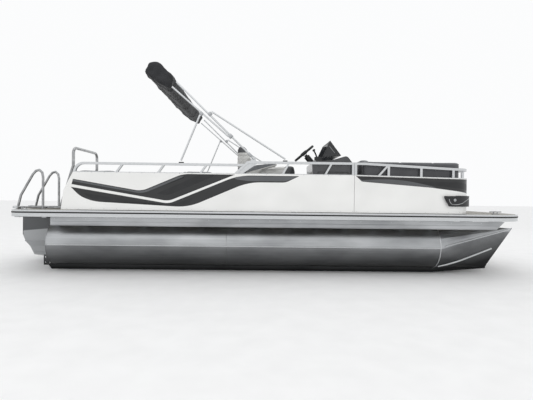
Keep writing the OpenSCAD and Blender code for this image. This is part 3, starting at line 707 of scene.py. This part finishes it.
skin_strip("bow_band", 1.28, FENCE_END, bow_band_low, lambda run: skin_top_at(run) - 0.012, 0.0008,
           band_charcoal)
skin_strip("bow_band_dark", 1.75, FENCE_END,
           lambda run: bow_band_low(run) + 0.012 + 0.03 * ramp_up(run),
           lambda run: bow_band_low(run) + 0.014 + 0.11 * ramp_up(run), 0.0011, black_plastic)
skin_strip("bow_band_glow", 1.32, 2.35, lambda run: bow_band_low(run) + 0.004,
           lambda run: bow_band_low(run) + 0.012 + 0.052 * math.sin(math.pi * (run - 1.32) / 1.03),
           0.0014, band_grey)

# %% [markdown]
# ## Fence trim
# The skins are pop-riveted to the frame, their top edges are capped with a rolled channel,
# and the fence stands on small feet bolted to the deck.

# %% Rivets, caps and feet
rivet_step = 0.16
rivets = []
for side in (-1, 1):
    ends = (-2.56, 1.24) if side < 0 else (-2.56, 0.54)
    count = int((ends[1] - ends[0]) / rivet_step)
    for i in range(count + 1):
        x = ends[0] + (ends[1] - ends[0]) * i / count
        rivets.append((x, side * SKIN_OUT, LOW_RIVETS))
        if x > -2.4:
            rivets.append((x, side * SKIN_OUT, skin_high[2] - 0.007))
for i in range(22):
    run = 1.29 + i * rivet_step * 0.97
    for z in (LOW_RIVETS, skin_top_at(run) - 0.006):
        at = on_skin(run, z, 0)
        rivets += [tuple(at), (at.x, -at.y, at.z)]
settle(copies(dome((0, 0, 1), 0.0045, 0.0045), rivets), "skin_rivets", "hull", anodised, 60)

feet = [(x, side * RAIL_Y, DECK + 0.0035) for side in (-1, 1)
        for x in (-2.3, -1.75, -1.2, -0.65, -0.1, 0.45, 1.4, 1.95, 2.5)]
foot = bar((-0.03, -0.016, -0.0035), (0.03, 0.016, 0.0035), 0.001)
settle(copies(foot, feet), "fence_feet", "hull", black_plastic)

cap_side = pipe([(-2.465, 0, skin_high[2] + 0.001), (1.255, 0, skin_high[2] + 0.001)], 0.0045)
cap_side.location = (0, -SKIN_OUT + 0.0025, 0)
settle(cap_side, "skin_cap_starboard", "hull", anodised, 60)
cap_port = pipe([(-2.465, SKIN_OUT - 0.0025, skin_high[2] + 0.001),
                 (0.556, SKIN_OUT - 0.0025, skin_high[2] + 0.001)], 0.0045)
settle(cap_port, "skin_cap_port", "hull", anodised, 60)
bow_cap_runs = [1.266 + i * (FENCE_END - 1.266) / 60 for i in range(61)]
bow_cap = pipe([on_skin(run, skin_top_at(run) + 0.001, -0.0025) for run in bow_cap_runs], 0.0045)
settle_pair(bow_cap, "bow_cap", anodised, 60)

# %% [markdown]
# ## Rub rail
# The deck's edge extrusion holds a black rubber insert in a groove, and thin ribs run above
# and below it. The insert follows the outline of the deck: straight sides, a wide arc at
# each bow corner and a tight one at each stern corner.

# %% Rub rail
def deck_outline(inset, z):
    points = []
    for cx, cy, radius, first in ((BOW - 0.5, HALF_BEAM - 0.5, 0.5, 90),
                                  (BOW - 0.5, 0.5 - HALF_BEAM, 0.5, 0),
                                  (STERN + 0.18, 0.18 - HALF_BEAM, 0.18, -90),
                                  (STERN + 0.18, HALF_BEAM - 0.18, 0.18, -180)):
        for step in range(15):
            angle = math.radians(first - 90 * step / 14)
            points.append((cx + (radius - inset) * math.cos(angle),
                           cy + (radius - inset) * math.sin(angle), z))
    return points


settle(pipe(deck_outline(0.009, 0.817), 0.014, True), "rub_rail_insert", "hull", edge_rubber, 60,
       "black_plastic")
ribs = [pipe(deck_outline(0.0022, z), 0.003, True) for z in (0.846, 0.797, 0.765)]
settle(joined(ribs), "rub_rail_ribs", "hull", anodised, 60)

# %% [markdown]
# ## Welds and strakes on the tubes
# Each tube is rolled in lengths and welded: rings where lengths meet, a straight seam along
# the side, a bead round the end cap, and lifting strakes pressed from thin angle.
# A weld is a narrow raised bead, so a thin pipe that follows the surface draws it.

# %% Welds and strakes
def laid_on(node, start, end, side, count=14):
    """A line given in x and z, laid against the outer side of a frame node."""
    points = []
    for i in range(count + 1):
        x, z = (a + (b - a) * i / count for a, b in zip(start, end))
        hit, at, _, _ = frame["nodes"][node].ray_cast(Vector((x, side * 3, z)),
                                                      Vector((0, -side, 0)))
        if hit:
            points.append(at)
    return points


def ring(x, radius, bead, side):
    points = [(x, side * TUBE_Y + radius * math.cos(a), TUBE_Z + radius * math.sin(a))
              for a in (math.tau * i / 64 for i in range(64))]
    return pipe(points, bead, True, 2)


tip = Vector((3.655, 0, 0.64))
stem_low, stem_high = Vector((3.261, 0, 0.08)), Vector((3.487, 0, 0.557))
for side, name in SIDES:
    centre = Vector((0, side * TUBE_Y, 0))
    chines = []
    beads = [ring(x, TUBE_R, 0.004, side) for x in (-0.45, -2.878)]
    chines.append(ring(RING_X, TUBE_R, 0.007, side))
    for outward in (-1, 1):
        y = side * TUBE_Y + outward * (TUBE_R - 0.0005)
        chines.append(pipe([(-2.85, y, TUBE_Z - 0.007), (RING_X, y, TUBE_Z - 0.007)], 0.006,
                           rounds=2))
        if outward == side:
            chines.append(pipe(laid_on("pontoon_" + name, (2.55, 0.405), (3.61, 0.625), side),
                               0.008, rounds=2))
            chines.append(pipe(laid_on("pontoon_" + name, (2.52, 0.105), (3.33, 0.352), side),
                               0.014, rounds=2))
    beads.append(pipe([stem_low + centre + Vector((0.004, 0, 0)),
                       stem_high + centre + Vector((0.004, 0, 0)),
                       tip + centre], 0.009, rounds=3))
    settle(joined(beads), "tube_welds_" + name, "hull", mill_aluminium, 60)
    settle(joined(chines), "nose_strakes_" + name, "hull", anodised, 60)
    plug = disc((-2.932, side * TUBE_Y, TUBE_Z - 0.05), (-1, 0, 0), 0.022, 0.018, sides=12)
    settle(plug, "tube_vent_plug_" + name, "hull", edge_rubber, slot="black_plastic")

# %% [markdown]
# ## Skirt seams and pod chines
# The valance under the deck edge is folded sheet: a raised lip runs along its foot and
# screws hold it at every cross member. The pod has folded spray chines on each side.

# %% Skirt and pod details
skirt_low, skirt_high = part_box("skirt_port")
for side, name in SIDES:
    y = side * (skirt_high[1] + 0.002)
    lips = [pipe([(skirt_low[0], y, skirt_low[2] + 0.006), (3.18, y, skirt_low[2] + 0.006)], 0.006,
                 rounds=2),
            pipe([(skirt_low[0], y, 0.70), (3.22, y, 0.70)], 0.003, rounds=2)]
    settle(joined(lips), "skirt_lips_" + name, "hull", mill_aluminium, 60)
    heads = [(-2.7 + 0.405 * i, y, 0.735) for i in range(15)]
    settle(copies(dome((0, side, 0), 0.006, 0.004), heads), "skirt_screws_" + name, "hull",
           anodised, 60)
    chines = [pipe([(-3.6, side * 0.402, z), (-2.15, side * 0.402, z)], 0.008, rounds=2)
              for z in (0.34, 0.70)]
    chines.append(pipe([(-3.5, side * 0.328, 0.16), (-2.5, side * 0.328, 0.16)], 0.008, rounds=2))
    settle(joined(chines), "pod_chines_" + name, "hull", pod_paint, 60)

# %% [markdown]
# ## Docking lights
# Each bow corner carries a moulded lamp: a black housing with a bright bent line and a small
# lens. The line hugs the curved face, so its points are set along the skin.

# %% Docking lights
def lamp_face(run, z):
    return on_skin(run, z, 0.036)


def ramp_between(run, start, end):
    return min(max((run - start) / (end - start), 0), 1)


def lamp_low(run):
    return 1.07 - 0.115 * ramp_between(run, 2.455, 2.52)


skin_strip("lamp_surround", 2.44, 2.95, lambda run: 1.075 - 0.135 * ramp_between(run, 2.44, 2.52),
           lambda run: 1.11, 0.004, white_enamel)
skin_strip("lamp_bezel", 2.455, 2.95, lamp_low, lambda run: 1.095, 0.033, black_plastic)


for mirror_side in (False, True):
    side = "port" if mirror_side else "starboard"
    course = [(2.520, 1.055), (2.53, 1.02), (2.55, 0.99), (2.58, 0.980), (2.64, 0.982),
              (2.70, 1.0), (2.78, 1.045), (2.84, 1.065)]
    line = pipe([lamp_face(run, z) for run, z in course], 0.006, rounds=3)
    lens = disc(lamp_face(2.60, 1.04), (0.15, -1, 0), 0.020, 0.008)
    if mirror_side:
        line, flat_line = mirrored(line), line
        lens, flat_lens = mirrored(lens), lens
        bpy.data.objects.remove(flat_line)
        bpy.data.objects.remove(flat_lens)
    settle(line, "lamp_bright_line_" + side, "hull", stainless, 60)
    settle(lens, "lamp_lens_" + side, "hull", lamp_glass, slot="tinted_acrylic")

# %% [markdown]
# ## Padded vinyl
# Each cushion starts as its solid from the frame. A copy is pulled in a little, remeshed with
# small voxels and blown up as cloth under pressure, so that it crowns between its edges as
# foam under vinyl does. No point may travel further than a cap, and what rests on a base
# stays flat. Sewn channels are pressed in afterwards, because the remesh would erase them.

# %% Blowing up a cushion
def solid_shells(node):
    """The separate closed solids of a frame node, each as an object of its own."""
    piece = twin_of(frame["nodes"][node])
    pick(piece)
    bpy.ops.object.transform_apply(location=True, rotation=True, scale=True)
    bpy.ops.object.mode_set(mode="EDIT")
    bpy.ops.mesh.select_all(action="SELECT")
    bpy.ops.mesh.remove_doubles(threshold=0.0002)
    bpy.ops.mesh.separate(type="LOOSE")
    bpy.ops.object.mode_set(mode="OBJECT")
    found = list(bpy.context.selected_objects)
    return sorted(found, key=lambda part: [round(min(v.co[i] for v in part.data.vertices), 3)
                                           for i in (1, 0)])


def extent(piece):
    return [Vector([f(v.co[i] for v in piece.data.vertices) for i in range(3)])
            for f in (min, max)]


def pull_in(piece, amount):
    low, high = extent(piece)
    centre, half = (low + high) / 2, (high - low) / 2
    for vertex in piece.data.vertices:
        for i in range(3):
            vertex.co[i] = centre[i] + (vertex.co[i] - centre[i]) * (1 - amount / half[i])


def blow_up(piece, voxel, cap, rounds=5, pressure=4):
    low, high = extent(piece)
    pull_in(piece, cap * 0.6)
    apply_modifier(piece, "REMESH", mode="VOXEL", voxel_size=voxel, use_smooth_shade=True)
    apply_modifier(piece, "SMOOTH", factor=0.5, iterations=rounds)
    start = [vertex.co.copy() for vertex in piece.data.vertices]
    pick(piece)
    cloth = piece.modifiers.new("Cloth", "CLOTH")
    cloth.settings.quality = 3
    cloth.settings.mass = 0.4
    cloth.settings.use_pressure = True
    cloth.settings.uniform_pressure_force = pressure
    cloth.settings.effector_weights.gravity = 0
    cloth.collision_settings.use_collision = False
    cloth.point_cache.frame_start, cloth.point_cache.frame_end = 1, CLOTH_FRAMES
    for number in range(1, CLOTH_FRAMES + 1):
        bpy.context.scene.frame_set(number)
    pick(piece)
    bpy.ops.object.modifier_apply(modifier=cloth.name)
    bpy.context.scene.frame_set(1)
    for vertex, home in zip(piece.data.vertices, start):
        move = vertex.co - home
        if move.length > cap:
            vertex.co = home + move.normalized() * cap
    for vertex in piece.data.vertices:
        for i in range(3):
            vertex.co[i] = min(max(vertex.co[i], low[i]), high[i])


def channel(piece, at, normal, depth=0.009, width=0.012):
    """Presses a sewn channel in where a plane crosses the cushion."""
    at, normal = Vector(at), Vector(normal).normalized()
    inward = [vertex.normal.copy() for vertex in piece.data.vertices]
    for vertex, way in zip(piece.data.vertices, inward):
        away = (vertex.co - at).dot(normal)
        if abs(away) < width * 3:
            vertex.co -= way * depth * math.exp(-(away / width) ** 2)


def cut_line(piece, at, normal):
    """Line where a plane cuts a piece, as an object."""
    cut_mesh = bmesh.new()
    cut_mesh.from_mesh(piece.data)
    everything = cut_mesh.verts[:] + cut_mesh.edges[:] + cut_mesh.faces[:]
    found = bmesh.ops.bisect_plane(cut_mesh, geom=everything, plane_co=at,
                                   plane_no=normal)["geom_cut"]
    edges = {edge for edge in found if isinstance(edge, bmesh.types.BMEdge)}
    bmesh.ops.delete(cut_mesh, geom=[face for face in cut_mesh.faces], context="FACES_ONLY")
    bmesh.ops.delete(cut_mesh, geom=[edge for edge in cut_mesh.edges if edge not in edges],
                     context="EDGES")
    loose = [vertex for vertex in cut_mesh.verts if not vertex.link_edges]
    bmesh.ops.delete(cut_mesh, geom=loose, context="VERTS")
    data = bpy.data.meshes.new("cut")
    cut_mesh.to_mesh(data)
    cut_mesh.free()
    return linked("cut", data)


def welt(piece, at, normal, radius=0.0035):
    line = cut_line(piece, at, normal)
    pick(line)
    bpy.ops.object.convert(target="CURVE")
    line = bpy.context.object
    line.data.bevel_depth = radius
    line.data.bevel_resolution = 1
    pick(line)
    bpy.ops.object.convert(target="MESH")
    return bpy.context.object


def two_tone(piece, at, normal, finish):
    """A second vinyl beyond a plane, with a clean edge between the two."""
    mesh = bmesh.new()
    mesh.from_mesh(piece.data)
    everything = mesh.verts[:] + mesh.edges[:] + mesh.faces[:]
    bmesh.ops.bisect_plane(mesh, geom=everything, plane_co=at, plane_no=normal)
    piece.data.materials.append(finish)
    second = len(piece.data.materials) - 1
    for face in mesh.faces:
        if (face.calc_center_median() - Vector(at)).dot(Vector(normal)) > 0:
            face.material_index = second
    mesh.to_mesh(piece.data)
    mesh.free()


def cushions(node, name, body, finish, slot, voxel=0.014, cap=0.012, seams=(), welts=(),
             rounds=5, reshape=None):
    parts = solid_shells(node)
    for part in parts:
        for vertex in part.data.vertices:
            if reshape:
                vertex.co = reshape(vertex.co)
        blow_up(part, voxel, cap, rounds)
    whole = joined(parts)
    whole.data.update()
    for at, normal in seams:
        channel(whole, at, normal)
        whole.data.update()
    settle(whole, name, body, finish, 60, slot)
    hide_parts(node)
    lines = [welt(whole, at, normal) for at, normal in welts]
    if lines:
        settle(joined(lines), name + "_welts", body, dark_vinyl, 60)
    print(name, len(whole.data.polygons), "faces")
    return whole


# %% [markdown]
# ## Lounges
# The bow lounges face each other along the fence, with backs that wrap the aft end as arm
# bolsters. Seams cross each cushion where its cover is sewn from panels.

# %% Lounge cushions
seat_low, seat_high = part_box("bow_lounge_seats")
back_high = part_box("bow_lounge_backs")[1]
UP, ALONG, ACROSS = (0, 0, 1), (1, 0, 0), (0, 1, 0)
bow_seats = cushions("bow_lounge_seats", "bow_seat_cushions", "hull", light_vinyl, "light_vinyl",
                     seams=[((x, 0, 0), ALONG) for x in (1.85, 2.31)],
                     welts=[((0, 0, seat_high[2] - 0.03), UP)])
two_tone(bow_seats, (0, 0, seat_low[2] + 0.045), (0, 0, -1), mid_vinyl)
bow_backs = cushions("bow_lounge_backs", "bow_back_cushions", "hull", mid_vinyl, "dark_vinyl",
                     rounds=22,
                     seams=[((x, 0, 0), ALONG) for x in (1.90, 2.35)],
                     welts=[((0, 0, back_high[2] - 0.062), UP)])
two_tone(bow_backs, (0, 0, back_high[2] - 0.07), (0, 0, -1), dark_vinyl)

stern_low, stern_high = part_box("stern_lounge_seats")
stern_back_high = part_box("stern_lounge_backs")[1]
stern_seats = cushions("stern_lounge_seats", "stern_seat_cushions", "hull", light_vinyl,
                       "light_vinyl",
                       seams=[((x, 0, 0), ALONG) for x in (-1.75, -1.2)]
                       + [((0, 0.45, 0), ACROSS)],
                       welts=[((0, 0, stern_high[2] - 0.03), UP)])
two_tone(stern_seats, (0, 0, stern_low[2] + 0.045), (0, 0, -1), mid_vinyl)
stern_backs = cushions("stern_lounge_backs", "stern_back_cushions", "hull", mid_vinyl,
                       "dark_vinyl",
                       seams=[((x, 0, 0), ALONG) for x in (-1.9, -1.45, -1.0)],
                       welts=[((0, 0, stern_back_high[2] - 0.045), UP)])
two_tone(stern_backs, (0, 0, stern_back_high[2] - 0.1), (0, 0, -1), light_vinyl)

# %% [markdown]
# ## Helm chair
# A pedestal chair with a dark bolster at the front of the seat, a back with a dark headband,
# and rolled arms. It swivels as one body.

# %% Helm chair
def raised_front(at):
    lifted = at.x > chair_high[0] - 0.2 and at.z > chair_low[2] + 0.1
    return at + Vector((0, 0, 0.05)) if lifted else at


def deep_back(at):
    deeper = at.x > rest_high[0] - 0.04 and at.z < rest_low[2] + 0.4
    return at + Vector((0.075, 0, 0)) if deeper else at


def full_arm(at):
    top = {1.4: 1.47, 1.449: 1.515}.get(round(at.z, 3))
    return Vector((at.x, at.y, top)) if top else at


chair_low, chair_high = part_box("chair_seat")
rest_low, rest_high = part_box("chair_back")
chair_seat = cushions("chair_seat", "chair_seat_cushion", "helm_chair", light_vinyl, "light_vinyl",
                      0.011, 0.014,
                      seams=[((chair_high[0] - 0.15, 0, 0), ALONG),
                             ((chair_low[0] + 0.2, 0, 0), ALONG)],
                      reshape=raised_front)
two_tone(chair_seat, (chair_high[0] - 0.15, 0, 0), ALONG, dark_vinyl)
chair_back = cushions("chair_back", "chair_back_cushion", "helm_chair", light_vinyl, "light_vinyl",
                      0.011, 0.014,
                      seams=[((0, 0, z), UP) for z in (rest_low[2] + 0.17, rest_low[2] + 0.33)],
                      reshape=deep_back)
two_tone(chair_back, (0, 0, rest_low[2] + 0.38), UP, dark_vinyl)
two_tone(chair_back, (0, 0, rest_low[2] + 0.17), (0, 0, -1), mid_vinyl)
chair_arms = cushions("chair_arms", "chair_arm_pads", "helm_chair", mid_vinyl, "dark_vinyl", 0.008,
                      0.007,
                      reshape=full_arm)
two_tone(chair_arms, (0, 0, 1.45), (0.3, 0, -1), light_vinyl)

# %% [markdown]
# ## Bimini boot
# The folded canopy lies in a zipped sleeve of woven canvas round the bows. Slack cloth takes
# folds where it is gathered: long ones along the sleeve and short ones at its closed ends.
# The sleeve is the frame's solid, remeshed fine enough for folds, which noise then moves.

# %% Sleeve with folds
TILT = math.radians(-46)
HINGE = Vector((-0.093, 0, 1.565))
to_frame = Matrix.Translation(HINGE) @ Matrix.Rotation(TILT, 4, "Y")
to_bows = to_frame.inverted()


def fold_depth(at):
    """How far the cloth lies in at a place given along the bows, in metres."""
    near_end = min(1, max(0, (abs(at.y) - 0.98) / 0.3))
    long_folds = noise.noise(Vector((at.x * 16, at.y * 1.6, at.z * 11))) * 0.012
    short_at = Vector((at.x * 12, at.y * 15 + 5, at.z * 9))
    short_folds = noise.noise(short_at) * (0.002 + 0.015 * near_end)
    creases = abs(noise.noise(Vector((at.x * 9, at.y * 3 + 9, at.z * 9)))) * 0.008
    return long_folds + short_folds + creases


boot = joined(solid_shells("bimini_boot"))
pull_in(boot, 0.014)
apply_modifier(boot, "REMESH", mode="VOXEL", voxel_size=0.014, use_smooth_shade=True)
apply_modifier(boot, "SMOOTH", factor=0.5, iterations=12)
apply_modifier(boot, "SUBSURF", levels=1, render_levels=1)
boot.data.update()
ways = [vertex.normal.copy() for vertex in boot.data.vertices]
for vertex, way in zip(boot.data.vertices, ways):
    vertex.co -= way * (fold_depth(to_bows @ vertex.co) - 0.006)
settle(boot, "canopy_boot", "bimini", canvas, 60)
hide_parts("bimini_boot")
print("boot", len(boot.data.polygons), "faces")

local_x = (to_frame.to_3x3() @ Vector((1, 0, 0))).normalized()
zip_line = welt(boot, to_frame @ Vector((-0.19, 0, 1.64)), local_x, 0.005)
settle(zip_line, "boot_zip", "bimini", black_plastic, 60)
ties = [welt(boot, (0, y, 0), ACROSS, 0.007) for y in (-1.14, -0.62, 0.0, 0.62, 1.14)]
settle(joined(ties), "boot_ties", "bimini", black_vinyl, 60, "boot_canvas")

# %% [markdown]
# ## Frame fittings
# Knuckle blocks join the struts and the second bow, and small sockets take the strut feet on
# the top rails. Round knobs close the hinge pins.

# %% Knuckles and sockets
def knuckle(s, n, y, size):
    along, across, deep = size
    block = bar((-across / 2, -deep / 2, -along / 2), (across / 2, deep / 2, along / 2), 0.005)
    block.matrix_world = to_frame @ Matrix.Translation((-n, y, s))
    pick(block)
    bpy.ops.object.transform_apply(location=True, rotation=True, scale=True)
    return block


for side, name in SIDES:
    y = side * BOW_LEG_Y
    clamps = [knuckle(s, n, y, size) for s, n, size in
              ((0.419, 0.004, (0.05, 0.05, 0.036)), (0.818, -0.01, (0.046, 0.05, 0.036)),
               (0.9, 0.065, (0.046, 0.044, 0.034)), (0.06, 0, (0.07, 0.036, 0.036)))]
    settle(joined(clamps), "bow_knuckles_" + name, "bimini", mill_aluminium)
    knobs = [disc((HINGE.x, side * 1.264, HINGE.z), (0, side, 0), 0.013, 0.008)]
    settle(joined(knobs), "bow_hinge_knobs_" + name, "bimini", black_plastic)
    sockets = [bar((-1.085, side * RAIL_Y - 0.017, 1.4915), (-1.02, side * RAIL_Y + 0.017, 1.506),
                   0.004),
               bar((0.30, side * RAIL_Y - 0.017, 1.5295), (0.362, side * RAIL_Y + 0.017, 1.544),
                   0.004)]
    settle(joined(sockets), "strut_sockets_" + name, "hull", black_plastic)

# %% [markdown]
# The plate in the corner of the rail's step is a filled gusset, riveted behind the tubes.

# %% Step gussets
for side, name in SIDES:
    y = side * 1.2352
    corners = [(-0.335, 1.362), (-0.178, 1.498), (-0.04, 1.498), (-0.235, 1.362)]
    bpy.ops.object.select_all(action="DESELECT")
    data = bpy.data.meshes.new("gusset")
    data.from_pydata([(x, y, z) for x, z in corners], [], [tuple(range(len(corners)))])
    plate = linked("gusset", data)
    apply_modifier(plate, "SOLIDIFY", thickness=0.004, offset=0)
    pick(plate)
    bpy.ops.object.mode_set(mode="EDIT")
    bpy.ops.mesh.select_all(action="SELECT")
    bpy.ops.mesh.normals_make_consistent(inside=False)
    bpy.ops.object.mode_set(mode="OBJECT")
    settle(plate, "rail_gusset_" + name, "hull", anodised)

# %% [markdown]
# ## Helm
# The console carries a dash with round gauges and a row of rocker switches. Lines outline
# its side panels, and the windshield has a rolled rubber edge. The dials stay blank.

# %% Dash and windshield trim
shield_low, shield_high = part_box("windshield")
console_low, console_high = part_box("console")
column_low, column_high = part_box("steering_column")
dash_y = (column_low[1] + column_high[1]) / 2
gauges = [disc((console_low[0] + 0.05, dash_y + dy, console_high[2] - 0.075), (-0.8, 0, 0.6),
               0.036, 0.022)
          for dy in (-0.17, -0.085, 0.085, 0.17)]
settle(joined(gauges), "dash_gauges", "hull", black_plastic)
rims = []
for dy in (-0.17, -0.085, 0.085, 0.17):
    bpy.ops.object.select_all(action="DESELECT")
    bpy.ops.mesh.primitive_torus_add(major_radius=0.036, minor_radius=0.003, major_segments=32,
                                     minor_segments=6,
                                     location=(console_low[0] + 0.041, dash_y + dy,
                                               console_high[2] - 0.068))
    rim = bpy.context.object
    rim.rotation_euler = Vector((-0.8, 0, 0.6)).to_track_quat("Z", "Y").to_euler()
    rims.append(rim)
settle(joined(rims), "gauge_rims", "hull", stainless, 60)
switches = [bar((console_low[0] - 0.006, dash_y + dy - 0.009, 1.30),
                (console_low[0] + 0.004, dash_y + dy + 0.009, 1.335),
                0.002) for dy in (-0.15, -0.09, -0.03, 0.03, 0.09, 0.15)]
settle(joined(switches), "dash_switches", "hull", black_plastic)
trims = [pipe([(console_low[0] + 0.10, y, 0.93), (console_high[0] - 0.09, y, 0.93),
               (console_high[0] - 0.06, y, 1.40), (console_low[0] + 0.08, y, 1.40)], 0.006, True)
         for y in (console_low[1] - 0.001, console_high[1] + 0.001)]
settle(joined(trims), "console_panel_lines", "hull", black_plastic, 60)

wing = [(0.835, 1.600), (0.938, 1.819), (1.085, 1.626)]
edges = []
for y in (shield_low[1], shield_high[1]):
    edges.append(pipe([(x, y, z) for x, z in wing], 0.006, True))
edges.append(pipe([(0.938, shield_low[1], 1.817), (0.938, shield_high[1], 1.817)], 0.006))
settle(joined(edges), "windshield_edge", "hull", black_plastic, 60)
streak = [pipe([(0.925, y, 1.75), (1.0, y, 1.66)], 0.004)
          for y in (shield_low[1] - 0.004, shield_high[1] + 0.004)]
settle(joined(streak), "windshield_bright_line", "hull", stainless, 60)

# %% [markdown]
# ## Steering wheel grip
# The bare rim is a thin ring. A moulded grip, thicker and with bumps for the fingers,
# is laid over it, with a round hub in the middle.

# %% Wheel grip and hub
wheel_at = Vector((0.636, -0.75, 1.696))
lean = math.radians(-40.5)
face = Vector((math.sin(lean), 0, math.cos(lean)))
bpy.ops.object.select_all(action="DESELECT")
bpy.ops.mesh.primitive_torus_add(major_radius=RIM_R, minor_radius=0.0165, major_segments=72,
                                 minor_segments=14)
grip = bpy.context.object
for vertex in grip.data.vertices:
    turn_at = math.atan2(vertex.co.y, vertex.co.x)
    swell = 1 + 0.05 * math.cos(24 * turn_at)
    ring_point = Vector((math.cos(turn_at), math.sin(turn_at), 0)) * RIM_R
    vertex.co = ring_point + (vertex.co - ring_point) * swell
grip.rotation_euler = face.to_track_quat("Z", "Y").to_euler()
grip.location = wheel_at
hub = disc(wheel_at + face * 0.012, face, 0.052, 0.028, 0.008, 40)
settle(joined([grip, hub]), "wheel_grip", "helm_wheel", rim_rubber, 60)

# %% [markdown]
# ## Deck and fittings
# The vinyl floor is laid in strips with welded seams. Round
# screw heads hold the feet of the tow bar and handrails, and the ladder's treads carry
# moulded grip strips.

# %% Floor seams, base screws and treads
seams = [pipe([(STERN + 0.05, y, DECK + 0.0002), (BOW - 0.06, y, DECK + 0.0002)], 0.0012, rounds=1)
         for y in (-0.61, 0.0, 0.61)]
settle(joined(seams), "floor_seams", "hull", black_vinyl, 60, "deck_vinyl")
screws = []
for x, y, reach in ((-3.05, -0.43, 0.026), (-3.05, 0.43, 0.026), (-2.948, -1.10, 0.026),
                    (-2.948, -0.68, 0.026)):
    for corner in range(4):
        turn_at = math.radians(45 + 90 * corner)
        screws.append((x + reach * math.cos(turn_at), y + reach * math.sin(turn_at), DECK + 0.008))
settle(copies(dome((0, 0, 1), 0.0045, 0.003), screws), "base_screws", "hull", stainless, 60)
strips = [bar((-3.355 + x + dx - 0.006, -1.03, 0.884), (-3.355 + x + dx + 0.006, -0.75, 0.8875),
              0.001)
          for x in (0.19, 0.40, 0.615) for dx in (-0.014, 0.0, 0.014)]
settle(joined(strips), "tread_grips", "boarding_ladder", edge_rubber, slot="black_plastic")

# %% [markdown]
# ## Gate latches
# Every gate closes with a paddle latch: a plate on the gate, with a small paddle.

# %% Latches
def latch(body, low, high, paddle_low, paddle_high, name):
    settle(joined([bar(low, high, 0.003), bar(paddle_low, paddle_high, 0.004)]), name, body,
           black_plastic)


latch("bow_gate", (2.842, 0.225, 1.225), (2.8455, 0.305, 1.295), (2.818, 0.235, 1.25),
      (2.845, 0.255, 1.27),
      "bow_gate_latch")
latch("side_gate", (1.16, 1.2175, 1.225), (1.235, 1.2195, 1.295), (1.18, 1.19, 1.25),
      (1.20, 1.2195, 1.27),
      "side_gate_latch")
latch("stern_gate", (-2.4545, -0.19, 1.225), (-2.4525, -0.125, 1.295), (-2.4545, -0.18, 1.25),
      (-2.427, -0.16, 1.27), "stern_gate_latch")
